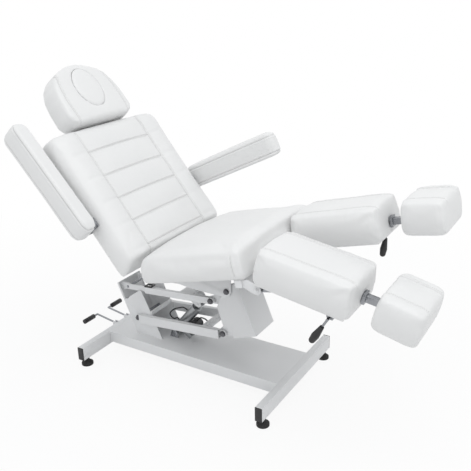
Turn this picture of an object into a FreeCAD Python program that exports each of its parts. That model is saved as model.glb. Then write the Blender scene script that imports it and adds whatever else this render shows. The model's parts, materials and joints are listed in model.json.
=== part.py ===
import FreeCAD, Part
import math
import os
import Sketcher
from FreeCAD import Placement, Rotation, Vector

# Podiatry chair with an electric lift: a low H-shaped stand, a pair of parallel arms that raise a
# carriage, and a seat, backrest, headrest, two armrests, two legs and two foot pads on it.
# Millimetres. +X points to the feet, +Y to the seated person's left, +Z up. The origin is on the
# floor under the middle of the stand. "right" is the seated person's right, at -Y.

doc = FreeCAD.newDocument("PodiatryChair")
sheet = doc.addObject("Spreadsheet::Sheet", "Sizes")
D = {}


def size(alias, value, note):
    """Enter one named size in the table and hand its value back."""
    row = len(D) + 1
    sheet.set("A%d" % row, "%.6g" % value)
    sheet.setAlias("A%d" % row, alias)
    sheet.set("B%d" % row, note)
    D[alias] = float(value)
    return float(value)


# Stand
stand_long = size("stand_long", 930, "outer length of the stand")
tube_wide = size("tube_wide", 30, "cross tube, along X")
tube_high = size("tube_high", 60, "cross tube, height")
tube_wall = size("tube_wall", 2, "wall of the cross tubes")
cross_long = size("cross_long", 622, "cross tube without its end caps")
cap_thick = size("cap_thick", 4, "flange of an end cap")
ground_gap = size("ground_gap", 36.5, "floor to the underside of the tubes")
deck_wide = size("deck_wide", 270, "width of the flat deck")
deck_high = size("deck_high", 50, "depth of the flat deck")
deck_wall = size("deck_wall", 3, "wall of the flat deck")
foot_inset = size("foot_inset", 36, "levelling foot in from the tube end")
foot_disc = size("foot_disc", 26, "radius of a levelling foot")
foot_disc_high = size("foot_disc_high", 10, "rim height of a levelling foot")
foot_cone_top = size("foot_cone_top", 12, "radius at the top of the cone")
foot_cone_high = size("foot_cone_high", 10, "height of the cone")
foot_nut = size("foot_nut", 11, "radius of the lock nut")
foot_nut_high = size("foot_nut_high", 7, "height of the lock nut")
stem = size("stem", 6, "radius of a threaded stem")
stem_high = size("stem_high", 42, "length of a threaded stem")
slip = size("slip", 0.05, "radial clearance of a turning or sliding round fit")
hair = size("hair", 0.3, "clearance round a soft piece")

# Lift: four pivots of the parallel arms, seen from the side
arm_long = size("arm_long", 454.7, "pivot to pivot of every arm")
arm_rise = size("arm_rise", 4.92, "angle of the arms above level, degrees")
low_x = size("low_x", -302, "lower rear pivot, x")
low_z = size("low_z", 179, "lower rear pivot, z")
high_x = size("high_x", -361.6, "upper rear pivot, x")
high_z = size("high_z", 314.5, "upper rear pivot, z")
pin = size("pin", 6, "radius of the pivot pins")
head = size("head", 9.5, "radius of the bolt heads")
head_thick = size("head_thick", 7, "thickness of the bolt heads")
sheet_thick = size("sheet_thick", 4, "sheet of the pedestal and the carriage")
pedestal_wide = size("pedestal_wide", 151, "pedestal over its side plates")
carriage_wide = size("carriage_wide", 149, "carriage over its side plates")
plate_thick = size("plate_thick", 5, "thickness of lugs and ears")
arm_inside = size("arm_inside", 76.5, "inner face of a lower arm from the middle")
arm_high = size("arm_high", 40, "height of a lower arm")
arm_wide = size("arm_wide", 20, "width of a lower arm")
bar_high = size("bar_high", 30, "height of an upper arm")
bar_wide = size("bar_wide", 15, "width of an upper arm")
bar_inside = size("bar_inside", 62.5, "inner face of an upper arm from the middle")

# Linear drive
drive_x = size("drive_x", -145, "lower drive pivot, x")
drive_z = size("drive_z", 122, "lower drive pivot, z")
push_x = size("push_x", -8, "upper drive pivot, x")
push_z = size("push_z", 292, "upper drive pivot, z")
drive_tube = size("drive_tube", 23, "radius of the drive's outer tube")
drive_rod = size("drive_rod", 10, "radius of the drive's rod")
drive_eye = size("drive_eye", 17, "radius of the rod's eye")
drive_eye_bore = size("drive_eye_bore", 12, "bore of the rod's eye")
push_pin = size("push_pin", 5, "radius of the upper drive pin")
motor = size("motor", 24, "radius of the drive's motor")
motor_long = size("motor_long", 70, "length of the drive's motor")
motor_off = size("motor_off", 48, "motor axis below the tube axis")
cable = size("cable", 3, "radius of the motor cables")

# Upholstered group: angles and reference points
seat_ahead = size("seat_ahead", 191.9, "front top edge of the seat ahead of its tilt pivot")
seat_above = size("seat_above", 291.9, "front top edge of the seat above its tilt pivot")
seat_tilt = size("seat_tilt", 14.57, "slope of the seat, degrees")
seat_long = size("seat_long", 480, "length of the seat cushion")
seat_half = size("seat_half", 310, "half width of the seat cushion")
seat_thick = size("seat_thick", 100, "thickness of the seat cushion")
board_thick = size("board_thick", 12, "thickness of the boards")
tilt_ahead = size("tilt_ahead", 25.5, "seat tilt pivot ahead of the carriage's lower pivot")
tilt_above = size("tilt_above", 202, "seat tilt pivot above the carriage's lower pivot")
back_ahead = size("back_ahead", 2.6, "lowest seam of the backrest ahead of the recline pivot")
back_above = size("back_above", 106.6, "lowest seam of the backrest above the recline pivot")
back_lean = size("back_lean", 51.35, "slope of the backrest, degrees")
back_up = size("back_up", 555, "lowest seam to the top of the backrest")
back_down = size("back_down", 60, "lowest seam to the bottom of the backrest")
back_half = size("back_half", 325, "half width of the backrest")
back_thick = size("back_thick", 100, "thickness of the backrest cushion")
back_seam = size("back_seam", 192, "long seams of the backrest from the middle")
recline_behind = size("recline_behind", 28.8, "recline pivot behind the seat's rear edge")
recline_below = size("recline_below", 88.2, "recline pivot below the seat's rear edge")
knee_ahead = size("knee_ahead", 22.4, "leg hinge ahead of the seat's front edge, along the seat")
knee_below = size("knee_below", 154.5, "leg hinge below the seat's top, square to the seat")
leg_middle = size("leg_middle", 185, "middle of a leg from the chair's middle")
leg_half = size("leg_half", 130, "half width of a leg cushion")
leg_start = size("leg_start", -16.7, "rear face of a leg cushion past its hinge")
leg_end = size("leg_end", 352, "front face of a leg cushion past its hinge")
leg_low = size("leg_low", 39, "underside of a leg cushion above its hinge")
leg_top = size("leg_top", 156.5, "top of a leg cushion above its hinge")
leg_seam = size("leg_seam", 87, "seams of a leg cushion from its middle")
right_leg_slope = size("right_leg_slope", -9.7, "right leg, lowered, degrees")
left_leg_slope = size("left_leg_slope", 14.57, "left leg, in line with the seat, degrees")
foot_middle = size("foot_middle", 197, "middle of a foot pad from the chair's middle")
foot_half = size("foot_half", 127.5, "half width of a foot pad")
foot_long = size("foot_long", 158, "length of a foot pad")
foot_thick = size("foot_thick", 116, "thickness of a foot pad")
foot_start = size("foot_start", 437, "rear face of a foot pad past the leg hinge")
foot_top = size("foot_top", 163, "top of a foot pad above the leg hinge")
foot_dip = size("foot_dip", 4.3, "foot pad nose down to its leg, degrees")
foot_bar = size("foot_bar", 25, "side of the square foot bar")
foot_bar_up = size("foot_bar_up", 80, "foot bar above the leg hinge")
sleeve = size("sleeve", 30, "side of the square sleeve in a leg")
sleeve_bore = size("sleeve_bore", 25.6, "inside of the square sleeve")
elbow_up = size("elbow_up", 175.9, "armrest pivot above the lowest seam, along the back")
elbow_deep = size("elbow_deep", 53.1, "armrest pivot behind the face of the backrest")
right_arm_slope = size("right_arm_slope", 132.3, "right armrest, folded back, degrees")
left_arm_slope = size("left_arm_slope", 25.9, "left armrest, forward, degrees")
rest_in = size("rest_in", 345.6, "inner face of an armrest from the middle")
rest_half = size("rest_half", 33.7, "half width of an armrest")
rest_low = size("rest_low", -39, "underside of an armrest")
rest_high = size("rest_high", 66, "top of an armrest")
rest_start = size("rest_start", -28, "rear end of an armrest")
rest_end = size("rest_end", 488, "front end of an armrest")
head_low = size("head_low", 567, "bottom of the headrest above the lowest seam")
head_top = size("head_top", 833, "top of the headrest above the lowest seam")
head_half = size("head_half", 190, "half width of the headrest")
head_front = size("head_front", 25, "headrest face in front of the backrest's")
head_back = size("head_back", -85, "back of the headrest cushion")
face_long = size("face_long", 92, "half length of the oval face insert")
face_wide = size("face_wide", 71, "half width of the oval face insert")
face_deep = size("face_deep", 60, "depth of the oval face insert")
doc.recompute()


def bind(obj, **props):
    """Tie an object's properties to the table."""
    for prop, alias in props.items():
        obj.setExpression(prop, "Sizes." + alias)


def at(x, z, slope=0.0):
    """A frame at x, z whose own X rises by slope degrees towards +Z."""
    return Placement(Vector(x, 0, z), Rotation(Vector(0, 1, 0), -slope))


WORLD = Placement()
LOW_ARM = at(low_x, low_z, arm_rise)
HIGH_ARM = at(high_x, high_z, arm_rise)
fore_low = LOW_ARM.multVec(Vector(arm_long, 0, 0))
fore_high = HIGH_ARM.multVec(Vector(arm_long, 0, 0))
tilt_x = fore_low.x + tilt_ahead
tilt_z = fore_low.z + tilt_above
drive_slope = math.degrees(math.atan2(push_z - drive_z, push_x - drive_x))
drive_long = math.hypot(push_z - drive_z, push_x - drive_x)
DRIVE = at(drive_x, drive_z, drive_slope)
SEAT = at(tilt_x + seat_ahead, tilt_z + seat_above, seat_tilt)
seat_rear = SEAT.multVec(Vector(-seat_long, 0, 0))
recline_x = seat_rear.x - recline_behind
recline_z = seat_rear.z - recline_below
BACK = at(recline_x + back_ahead, recline_z + back_above, -back_lean)
elbow = BACK.multVec(Vector(-elbow_up, 0, -elbow_deep))
ARM = {-1: at(elbow.x, elbow.z, right_arm_slope), 1: at(elbow.x, elbow.z, left_arm_slope)}
knee = SEAT.multVec(Vector(knee_ahead, 0, -knee_below))
LEG = {-1: at(knee.x, knee.z, right_leg_slope), 1: at(knee.x, knee.z, left_leg_slope)}
SIDE = {-1: "right", 1: "left"}
ALONG_Y = Vector(0, 1, 0)
NODES = []


def local(frame, x, z):
    """The x, z of a world point in a frame."""
    p = frame.inverse().multVec(Vector(x, 0, z))
    return p.x, p.z


def block(label, long, wide, high, frame, x=0.0, y=0.0, z=0.0):
    """A box of three named sides, centred at x, y, z in a frame."""
    obj = doc.addObject("Part::Box", label)
    bind(obj, Length=long, Width=wide, Height=high)
    corner = Vector(x - D[long] / 2, y - D[wide] / 2, z - D[high] / 2)
    obj.Placement = frame.multiply(Placement(corner, Rotation()))
    return obj


def rod(label, radius, long, frame, start, way=ALONG_Y):
    """A round bar of named radius and length from start along way in a frame."""
    obj = doc.addObject("Part::Cylinder", label)
    bind(obj, Radius=radius, Height=long)
    obj.Placement = frame.multiply(Placement(start, Rotation(Vector(0, 0, 1), way)))
    return obj


def cone(label, low, high, long, frame, start, way):
    """A cone between two named radii from start along way in a frame."""
    obj = doc.addObject("Part::Cone", label)
    bind(obj, Radius1=low, Radius2=high, Height=long)
    obj.Placement = frame.multiply(Placement(start, Rotation(Vector(0, 0, 1), way)))
    return obj


def plate(label, outline, thick, frame, y):
    """A plate cut to an outline of x, z points; it fills y - thick to y in a frame."""
    body = doc.addObject("PartDesign::Body", label)
    sketch = body.newObject("Sketcher::SketchObject", label + "_outline")
    planes = [f for f in body.Origin.OriginFeatures if f.Role == "XZ_Plane"]
    sketch.AttachmentSupport = [(planes[0], "")]
    sketch.MapMode = "FlatFace"
    count = len(outline)
    for i in range(count):
        start = Vector(outline[i][0], outline[i][1], 0)
        end = Vector(outline[(i + 1) % count][0], outline[(i + 1) % count][1], 0)
        sketch.addGeometry(Part.LineSegment(start, end))
    for i in range(count):
        sketch.addConstraint(Sketcher.Constraint("Coincident", i, 2, (i + 1) % count, 1))
    pad = body.newObject("PartDesign::Pad", label + "_pad")
    pad.Profile = sketch
    bind(pad, Length=thick)
    body.Placement = frame.multiply(Placement(Vector(0, y, 0), Rotation()))
    return body


def fuse(label, parts):
    """Join overlapping pieces into one solid."""
    obj = doc.addObject("Part::MultiFuse", label)
    obj.Shapes = parts
    obj.Refine = True
    return obj


def cut(label, base, tools):
    """Take tools out of base."""
    obj = doc.addObject("Part::Cut", label)
    obj.Base = base
    obj.Tool = tools[0] if len(tools) == 1 else fuse(label + "_tools", tools)
    return obj


def group(label, parts):
    """Keep separate solids together under one name."""
    obj = doc.addObject("Part::Compound", label)
    obj.Links = parts
    return obj


def node(name, obj):
    """Name a finished piece and list it for the hand-over."""
    obj.Label = name
    NODES.append((name, obj))
    return obj


# More named sizes that follow from the ones above
size("bore", pin + slip, "hole that turns on a pivot pin")
size("deck_long", stand_long - 2 * tube_wide, "deck between the cross tubes")
size("deck_over", stand_long, "cutter longer than the deck")
size("deck_inside_wide", deck_wide - 2 * deck_wall, "inside of the deck")
size("deck_inside_high", deck_high - 2 * deck_wall, "inside of the deck")
size("tube_inside_wide", tube_wide - 2 * tube_wall, "inside of a cross tube")
size("tube_inside_high", tube_high - 2 * tube_wall, "inside of a cross tube")
size("cross_over", cross_long + 2, "cutter longer than a cross tube")
size("plug_wide", tube_wide - 2 * tube_wall - 0.2, "plug of an end cap")
size("plug_high", tube_high - 2 * tube_wall - 0.2, "plug of an end cap")
size("plug_long", 14, "plug of an end cap")
size("pedestal_inside", pedestal_wide - 2 * sheet_thick, "pedestal between its side plates")
size("carriage_inside", carriage_wide - 2 * sheet_thick, "carriage between its side plates")

# The stand
tube_x = stand_long / 2 - tube_wide / 2
tube_z = ground_gap + tube_high / 2
deck_z = ground_gap + tube_high - deck_high / 2
deck_top = ground_gap + tube_high
foot_y = (cross_long / 2 + cap_thick) - foot_inset
caps = []
for end, name in ((-1, "rear"), (1, "front")):
    solid = block(name + "_tube_solid", "tube_wide", "cross_long", "tube_high", WORLD, end * tube_x, 0, tube_z)
    inside = block(name + "_tube_inside", "tube_inside_wide", "cross_over", "tube_inside_high", WORLD,
                   end * tube_x, 0, tube_z)
    drills = [rod("%s_stem_hole_%s" % (name, SIDE[s]), "bore", "stem_high", WORLD,
                  Vector(end * tube_x, s * foot_y, 0), Vector(0, 0, 1)) for s in SIDE]
    node(name + "_cross_tube", cut(name + "_cross_tube", solid, [inside] + drills))
    for s in SIDE:
        flange = block("cap_flange", "tube_wide", "cap_thick", "tube_high", WORLD,
                       end * tube_x, s * (cross_long / 2 + cap_thick / 2), tube_z)
        plug = block("cap_plug", "plug_wide", "plug_long", "plug_high", WORLD,
                     end * tube_x, s * (cross_long / 2 - D["plug_long"] / 2), tube_z)
        caps.append(fuse("cap", [flange, plug]))
        disc = rod("foot_rim", "foot_disc", "foot_disc_high", WORLD,
                   Vector(end * tube_x, s * foot_y, 0), Vector(0, 0, 1))
        slope = cone("foot_cone", "foot_disc", "foot_cone_top", "foot_cone_high", WORLD,
                     Vector(end * tube_x, s * foot_y, foot_disc_high), Vector(0, 0, 1))
        nut = rod("foot_lock", "foot_nut", "foot_nut_high", WORLD,
                  Vector(end * tube_x, s * foot_y, foot_disc_high + foot_cone_high), Vector(0, 0, 1))
        post = rod("foot_stem", "stem", "stem_high", WORLD,
                   Vector(end * tube_x, s * foot_y, foot_disc_high + foot_cone_high), Vector(0, 0, 1))
        name_foot = "level_foot_%s_%s" % (name, SIDE[s])
        node(name_foot, fuse(name_foot, [disc, slope, nut, post]))
node("tube_end_caps", group("tube_end_caps", caps))
deck = block("deck_solid", "deck_long", "deck_wide", "deck_high", WORLD, 0, 0, deck_z)
deck_hollow = block("deck_hollow", "deck_over", "deck_inside_wide", "deck_inside_high", WORLD, 0, 0, deck_z)
node("base_deck", cut("base_deck", deck, [deck_hollow]))

# The pedestal: a folded channel that leans back, open to the front
lean_x = size("pedestal_foot_x", -320, "rear edge of the pedestal at the deck")
lean_top_x = size("pedestal_top_x", -417, "rear edge of the pedestal at its top")
lean_top_z = size("pedestal_top_z", 323, "top of the pedestal's rear wall")
lean_len = math.hypot(lean_top_x - lean_x, lean_top_z - deck_top)
up_x, up_z = (lean_top_x - lean_x) / lean_len, (lean_top_z - deck_top) / lean_len
fore_x, fore_z = up_z, -up_x
flange = size("pedestal_flange", 9, "edge fold of the rear wall")
shoulder = size("pedestal_shoulder", 166, "where the side plates meet the rear wall")
front_x = size("pedestal_front_x", -178, "front edge of the pedestal at the deck")
tip_x = size("pedestal_tip_x", -275, "front edge of the pedestal at its top")
tip_z = size("pedestal_tip_z", 301, "front edge of the pedestal at its top")
outline = [
    (lean_x, deck_top),
    (front_x, deck_top),
    (tip_x, tip_z),
    (tip_x - 2 * sheet_thick, tip_z + flange + sheet_thick),
    (tip_x - 4 * sheet_thick, tip_z + flange + sheet_thick - 1),
    (tip_x - 69, tip_z - 26),
    (tip_x - 87, tip_z - 44),
    (lean_x + up_x * shoulder + fore_x * flange, deck_top + up_z * shoulder + fore_z * flange),
    (lean_top_x + fore_x * flange, lean_top_z + fore_z * flange),
    (lean_top_x, lean_top_z),
]
shell = plate("pedestal_shell", outline, "pedestal_wide", WORLD, pedestal_wide / 2)
hollow_low = (lean_x + fore_x * sheet_thick - up_x * 20, deck_top + fore_z * sheet_thick - up_z * 20)
hollow_high = (lean_top_x + fore_x * sheet_thick + up_x * 20, lean_top_z + fore_z * sheet_thick + up_z * 20)
hollow = plate("pedestal_hollow", [hollow_low, (0, hollow_low[1]), (0, hollow_high[1]), hollow_high],
               "pedestal_inside", WORLD, D["pedestal_inside"] / 2)
channel = cut("pedestal_channel", shell, [hollow])
size("strip_long", 8, "cross strip of the pedestal, along X")
size("strip_wide", pedestal_wide - sheet_thick, "cross strip of the pedestal, along Y")
size("strip_high", 18, "cross strip of the pedestal, height")
strip = block("pedestal_strip", "strip_long", "strip_wide", "strip_high", WORLD, -233, 0, 213)
lug_in = size("upper_lug_in", 52, "inner face of an upper rear lug from the middle")
lug_shape = [(high_x - 37, 286), (high_x - 52, 321), (high_x, 328), (high_x + 14, 322), (high_x + 14, 307),
             (high_x, 301)]
lugs = [plate("pedestal_lug", lug_shape, "plate_thick", WORLD, s * (lug_in + plate_thick / 2) + plate_thick / 2)
        for s in SIDE]
size("across", 200, "cutter across the chair")
lower_hole = rod("pedestal_low_hole", "bore", "across", WORLD, Vector(low_x, -100, low_z))
upper_hole = rod("pedestal_high_hole", "bore", "across", WORLD, Vector(high_x, -100, high_z))
frame_parts = fuse("pedestal_welded", [channel, strip] + lugs)
node("pedestal", cut("pedestal", frame_parts, [lower_hole, upper_hole]))

size("low_pin_long", 2 * (arm_inside + plate_thick + hair) + 2, "lower rear pin")
size("high_pin_long", 140, "upper rear pin")
ear_out = arm_inside + plate_thick + hair
low_pin = rod("low_pin", "pin", "low_pin_long", WORLD, Vector(low_x, -D["low_pin_long"] / 2, low_z))
low_heads = [rod("low_pin_head", "head", "head_thick", WORLD,
                 Vector(low_x, s * ear_out + (s - 1) * head_thick / 2, low_z)) for s in SIDE]
high_pin = rod("high_pin", "pin", "high_pin_long", WORLD, Vector(high_x, -D["high_pin_long"] / 2, high_z))
pivots = [fuse("low_pin_bolt", [low_pin] + low_heads), high_pin]

# Clevis that holds the drive, and the bracket of the two rear levers
clevis_in = size("clevis_in", 26, "inner face of the drive clevis from the middle")
clevis_shape = [(drive_x - 22, deck_top), (drive_x + 22, deck_top), (drive_x + 13, drive_z + 4),
                (drive_x + 6, drive_z + 12), (drive_x - 6, drive_z + 12), (drive_x - 13, drive_z + 4)]
clevis = [plate("clevis_side", clevis_shape, "plate_thick", WORLD,
                s * (clevis_in + plate_thick / 2) + plate_thick / 2) for s in SIDE]
size("clevis_pin_long", 2 * (clevis_in + plate_thick) + 6, "drive clevis pin")
clevis_pin = rod("clevis_pin", "pin", "clevis_pin_long", WORLD,
                 Vector(drive_x, -D["clevis_pin_long"] / 2, drive_z))
node("base_pivots", group("base_pivots", pivots + [fuse("drive_clevis", clevis + [clevis_pin])]))

pedal_out = size("pedal_out", 16, "rear lever pivot behind the stand")
pedal_x = -stand_long / 2 - pedal_out
pedal_z = size("pedal_z", 84, "rear lever pivot, z")
pedal_y = size("pedal_y", 39.5, "rear lever from the middle")
pedal_pin = size("pedal_pin", 4, "radius of a rear lever pin")
pedal_bore = size("pedal_bore", pedal_pin + slip, "bore of a rear lever")
size("pedal_pin_long", 21, "rear lever pin")
size("bracket_long", 3, "bracket sheet of the rear levers")
size("bracket_wide", 110, "width of the rear lever bracket")
size("bracket_high", 24, "height of the rear lever bracket")
size("cheek_long", 24, "cheek of the rear lever bracket")
size("cheek_high", 20, "cheek of the rear lever bracket")
bracket = [block("pedal_sheet", "bracket_long", "bracket_wide", "bracket_high", WORLD,
                 -stand_long / 2 - D["bracket_long"] / 2, 0, pedal_z)]
cheek_x = -stand_long / 2 - D["bracket_long"] - D["cheek_long"] / 2
for s in SIDE:
    pair = [block("pedal_cheek", "cheek_long", "bracket_long", "cheek_high", WORLD, cheek_x,
                  s * pedal_y + edge, pedal_z) for edge in (-8, 8)]
    pair.append(rod("pedal_pivot", "pedal_pin", "pedal_pin_long", WORLD,
                    Vector(pedal_x, s * pedal_y - D["pedal_pin_long"] / 2, pedal_z)))
    bracket.append(fuse("pedal_cheeks", pair))
node("rear_lever_bracket", group("rear_lever_bracket", bracket))

# Rear levers: a rod to the rear that turns outwards into a grip
bend_x = pedal_x - size("pedal_reach", 116, "bend of a rear lever behind its pivot")
bend_z = size("pedal_bend_z", 102, "bend of a rear lever, z")
pedal_rod = size("pedal_rod", 4.5, "radius of a rear lever's rod")
pedal_boss = size("pedal_boss", 8.5, "radius of a rear lever's boss")
size("pedal_boss_wide", 10, "width of a rear lever's boss")
run = math.hypot(bend_x - pedal_x, bend_z - pedal_z)
size("pedal_run", run, "rod of a rear lever, pivot to bend")
size("pedal_turn", 32, "rod of a rear lever past the bend")
grip_radius = size("pedal_grip", 11, "radius of a rear grip")
size("pedal_grip_long", 66, "length of a rear grip")
size("grip_bore", pedal_rod + slip, "bore of a rear grip")
for s in SIDE:
    toward = Vector(bend_x - pedal_x, 0, bend_z - pedal_z)
    boss = rod("pedal_boss", "pedal_boss", "pedal_boss_wide", WORLD,
               Vector(pedal_x, s * pedal_y - D["pedal_boss_wide"] / 2, pedal_z))
    shank = rod("pedal_shank", "pedal_rod", "pedal_run", WORLD, Vector(pedal_x, s * pedal_y, pedal_z), toward)
    corner = doc.addObject("Part::Sphere", "pedal_corner")
    bind(corner, Radius="pedal_rod")
    corner.Placement = Placement(Vector(bend_x, s * pedal_y, bend_z), Rotation())
    spur = rod("pedal_spur", "pedal_rod", "pedal_turn", WORLD, Vector(bend_x, s * pedal_y, bend_z),
               Vector(0, s, 0))
    eye = rod("pedal_eye", "pedal_bore", "pedal_grip_long", WORLD, Vector(pedal_x, s * pedal_y - 33, pedal_z))
    name = "rear_lever_" + SIDE[s]
    node(name, cut(name, fuse(name + "_solid", [boss, shank, corner, spur]), [eye]))
    grip = rod("pedal_grip", "pedal_grip", "pedal_grip_long", WORLD,
               Vector(bend_x, s * (pedal_y + 24), bend_z), Vector(0, s, 0))
    sock = rod("pedal_grip_bore", "grip_bore", "pedal_turn", WORLD, Vector(bend_x, s * pedal_y, bend_z),
               Vector(0, s, 0))
    name = "rear_grip_" + SIDE[s]
    node(name, cut(name, grip, [sock]))

# Lower arms with a cross bar
size("arm_tube_long", arm_long - 28, "box part of a lower arm")
size("arm_inside_wide", arm_wide - 4, "inside of a lower arm")
size("arm_inside_high", arm_high - 4, "inside of a lower arm")
size("arm_over", arm_long, "cutter longer than a lower arm")
ear_radius = size("ear_radius", 16, "radius of a lower arm's end")
size("ear_high", 2 * ear_radius, "height of a lower arm's strap")
for s in SIDE:
    middle = s * (arm_inside + arm_wide / 2)
    name = "lower_arm_" + SIDE[s]
    box = cut(name + "_box", block(name + "_outside", "arm_tube_long", "arm_wide", "arm_high", LOW_ARM,
                                   arm_long / 2, middle, 0),
              [block(name + "_inside", "arm_over", "arm_inside_wide", "arm_inside_high", LOW_ARM,
                     arm_long / 2, middle, 0)])
    strap_y = s * (arm_inside + plate_thick / 2)
    strap = block(name + "_strap", "arm_long", "plate_thick", "ear_high", LOW_ARM, arm_long / 2, strap_y, 0)
    ends = [rod(name + "_end", "ear_radius", "plate_thick", LOW_ARM, Vector(x, strap_y - plate_thick / 2, 0))
            for x in (0, arm_long)]
    holes = [rod(name + "_hole", "bore", "across", LOW_ARM, Vector(x, -100, 0)) for x in (0, arm_long)]
    node(name, cut(name, fuse(name + "_welded", [box, strap] + ends), holes))
size("cross_bar", 24, "side of the lower cross bar")
size("cross_bar_long", 2 * arm_inside, "length of the lower cross bar")
node("lower_cross_bar", block("lower_cross_bar", "cross_bar", "cross_bar_long", "cross_bar", LOW_ARM, 350, 0, 0))

# Upper arms: a box with a thinner bracket behind, the plate between them and the drive's yoke
box_start = size("bar_start", 104, "where the box part of an upper arm begins")
size("bar_box_long", arm_long - box_start, "box part of an upper arm")
size("bar_inside_wide", bar_wide - 4, "inside of an upper arm")
size("bar_inside_high", bar_high - 4, "inside of an upper arm")
size("bar_end", bar_high / 2, "radius of an upper arm's front end")
size("tail_long", box_start + 20, "thin bracket of an upper arm")
size("tail_high", 26, "thin bracket of an upper arm")
size("tail_end", 13, "rear end of the thin bracket")
for s in SIDE:
    middle = s * (bar_inside + bar_wide / 2)
    name = "upper_arm_" + SIDE[s]
    box = cut(name + "_box", block(name + "_outside", "bar_box_long", "bar_wide", "bar_high", HIGH_ARM,
                                   (box_start + arm_long) / 2, middle, 0),
              [block(name + "_inside", "bar_box_long", "bar_inside_wide", "bar_inside_high", HIGH_ARM,
                     (box_start + arm_long) / 2, middle, 0)])
    front = rod(name + "_front", "bar_end", "bar_wide", HIGH_ARM, Vector(arm_long, middle - bar_wide / 2, 0))
    tail_y = s * (bar_inside + plate_thick / 2)
    tail = block(name + "_tail", "tail_long", "plate_thick", "tail_high", HIGH_ARM, D["tail_long"] / 2, tail_y, 0)
    rear = rod(name + "_rear", "tail_end", "plate_thick", HIGH_ARM, Vector(0, tail_y - plate_thick / 2, 0))
    holes = [rod(name + "_hole", "bore", "across", HIGH_ARM, Vector(x, -100, 0)) for x in (0, arm_long)]
    node(name, cut(name, fuse(name + "_welded", [box, front, tail, rear]), holes))
size("yoke_long", 71, "plate between the upper arms")
size("yoke_wide", 2 * bar_inside, "plate between the upper arms")
size("yoke_high", 8, "plate between the upper arms")
yoke_x = size("yoke_x", 303, "plate between the upper arms from the rear pivot")
yoke_plate = block("yoke_plate", "yoke_long", "yoke_wide", "yoke_high", HIGH_ARM, yoke_x, 0, -3)
px, pz = local(HIGH_ARM, push_x, push_z)
yoke_in = size("yoke_in", 23, "inner face of the drive's yoke from the middle")
yoke_shape = [(yoke_x - 30, -1), (yoke_x + 33, -1), (px + 14, pz + 8), (px + 14, pz - 8), (px + 2, pz - 15),
              (px - 11, pz - 10), (yoke_x - 30, -8)]
yoke = [plate("yoke_side", yoke_shape, "plate_thick", HIGH_ARM,
              s * (yoke_in + plate_thick / 2) + plate_thick / 2) for s in SIDE]
size("push_pin_long", 2 * (yoke_in + plate_thick) + 4, "upper drive pin")
yoke_pin = rod("yoke_pin", "push_pin", "push_pin_long", HIGH_ARM, Vector(px, -D["push_pin_long"] / 2, pz))
node("upper_cross_plate", fuse("upper_cross_plate", [yoke_plate, yoke_pin] + yoke))
size("pad_long", 38, "black frame on the right upper arm")
size("pad_wide", 32, "black frame on the right upper arm")
size("pad_high", 6, "black frame on the right upper arm")
size("pad_in_long", 26, "opening of the black frame")
size("pad_in_wide", 18, "opening of the black frame")
pad_y = -(bar_inside + bar_wide) + D["pad_wide"] / 2
pad_at = (box_start + 20, pad_y, bar_high / 2 + D["pad_high"] / 2)
node("upper_arm_pad", cut("upper_arm_pad", block("pad_solid", "pad_long", "pad_wide", "pad_high", HIGH_ARM, *pad_at),
                          [block("pad_open", "pad_in_long", "pad_in_wide", "tube_high", HIGH_ARM, *pad_at)]))

# The carriage: the same folded channel, open to the rear
carriage_deep = size("carriage_deep", 157, "carriage ahead of its lower pivot")
carriage_high = size("carriage_high", 237, "carriage above its lower pivot")
CARRIAGE_SHARES = ((0.006, 0.095), (0.293, 0.154), (0.293, -0.059), (1.0, 0.112), (0.452, 1.0), (0.025, 1.0),
                   (-0.051, 0.72), (-0.188, 0.484))
shape = [(fore_low.x + a * carriage_deep, fore_low.z + b * carriage_high) for a, b in CARRIAGE_SHARES]
front_low = shape[3]
front_high = shape[4]
wall_len = math.hypot(front_high[0] - front_low[0], front_high[1] - front_low[1])
wx, wz = (front_high[0] - front_low[0]) / wall_len, (front_high[1] - front_low[1]) / wall_len
shell = plate("carriage_shell", shape, "carriage_wide", WORLD, carriage_wide / 2)
cut_low = (front_low[0] - wz * sheet_thick - wx * 40, front_low[1] + wx * sheet_thick - wz * 40)
cut_high = (front_high[0] - wz * sheet_thick + wx * 40, front_high[1] + wx * sheet_thick + wz * 40)
open_x = fore_low.x - carriage_deep
hollow = plate("carriage_hollow", [cut_low, cut_high, (open_x, cut_high[1]), (open_x, cut_low[1])],
               "carriage_inside", WORLD, D["carriage_inside"] / 2)
tilt_hole = rod("tilt_hole", "bore", "across", WORLD, Vector(tilt_x, -100, tilt_z))
node("carriage", cut("carriage", cut("carriage_channel", shell, [hollow]), [tilt_hole]))
inner = D["carriage_inside"] / 2
low_lug = [(fore_low.x - 16, fore_low.z - 14), (fore_low.x + 70, fore_low.z - 2), (fore_low.x + 72, fore_low.z + 40),
           (fore_low.x - 1, fore_low.z + 34), (fore_low.x - 20, fore_low.z + 14)]
high_lug = [(fore_high.x - 17, fore_high.z - 13), (fore_high.x - 11, fore_high.z + 13),
            (fore_high.x + 37, fore_high.z + 37), (fore_high.x + 70, fore_high.z + 30),
            (fore_high.x + 70, fore_high.z - 10), (fore_high.x, fore_high.z - 17)]
lug_out = size("upper_lug_out", 61, "outer face of an upper front lug from the middle")
size("spacer_long", 26, "block beside an upper front lug")
size("spacer_wide", inner - lug_out, "block beside an upper front lug")
size("spacer_high", 30, "block beside an upper front lug")
lugs = []
bolts = []
size("low_bolt", 29, "front lower bolt")
size("high_bolt", 36, "front upper bolt")
size("tilt_bolt", 27, "seat pivot bolt")
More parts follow.
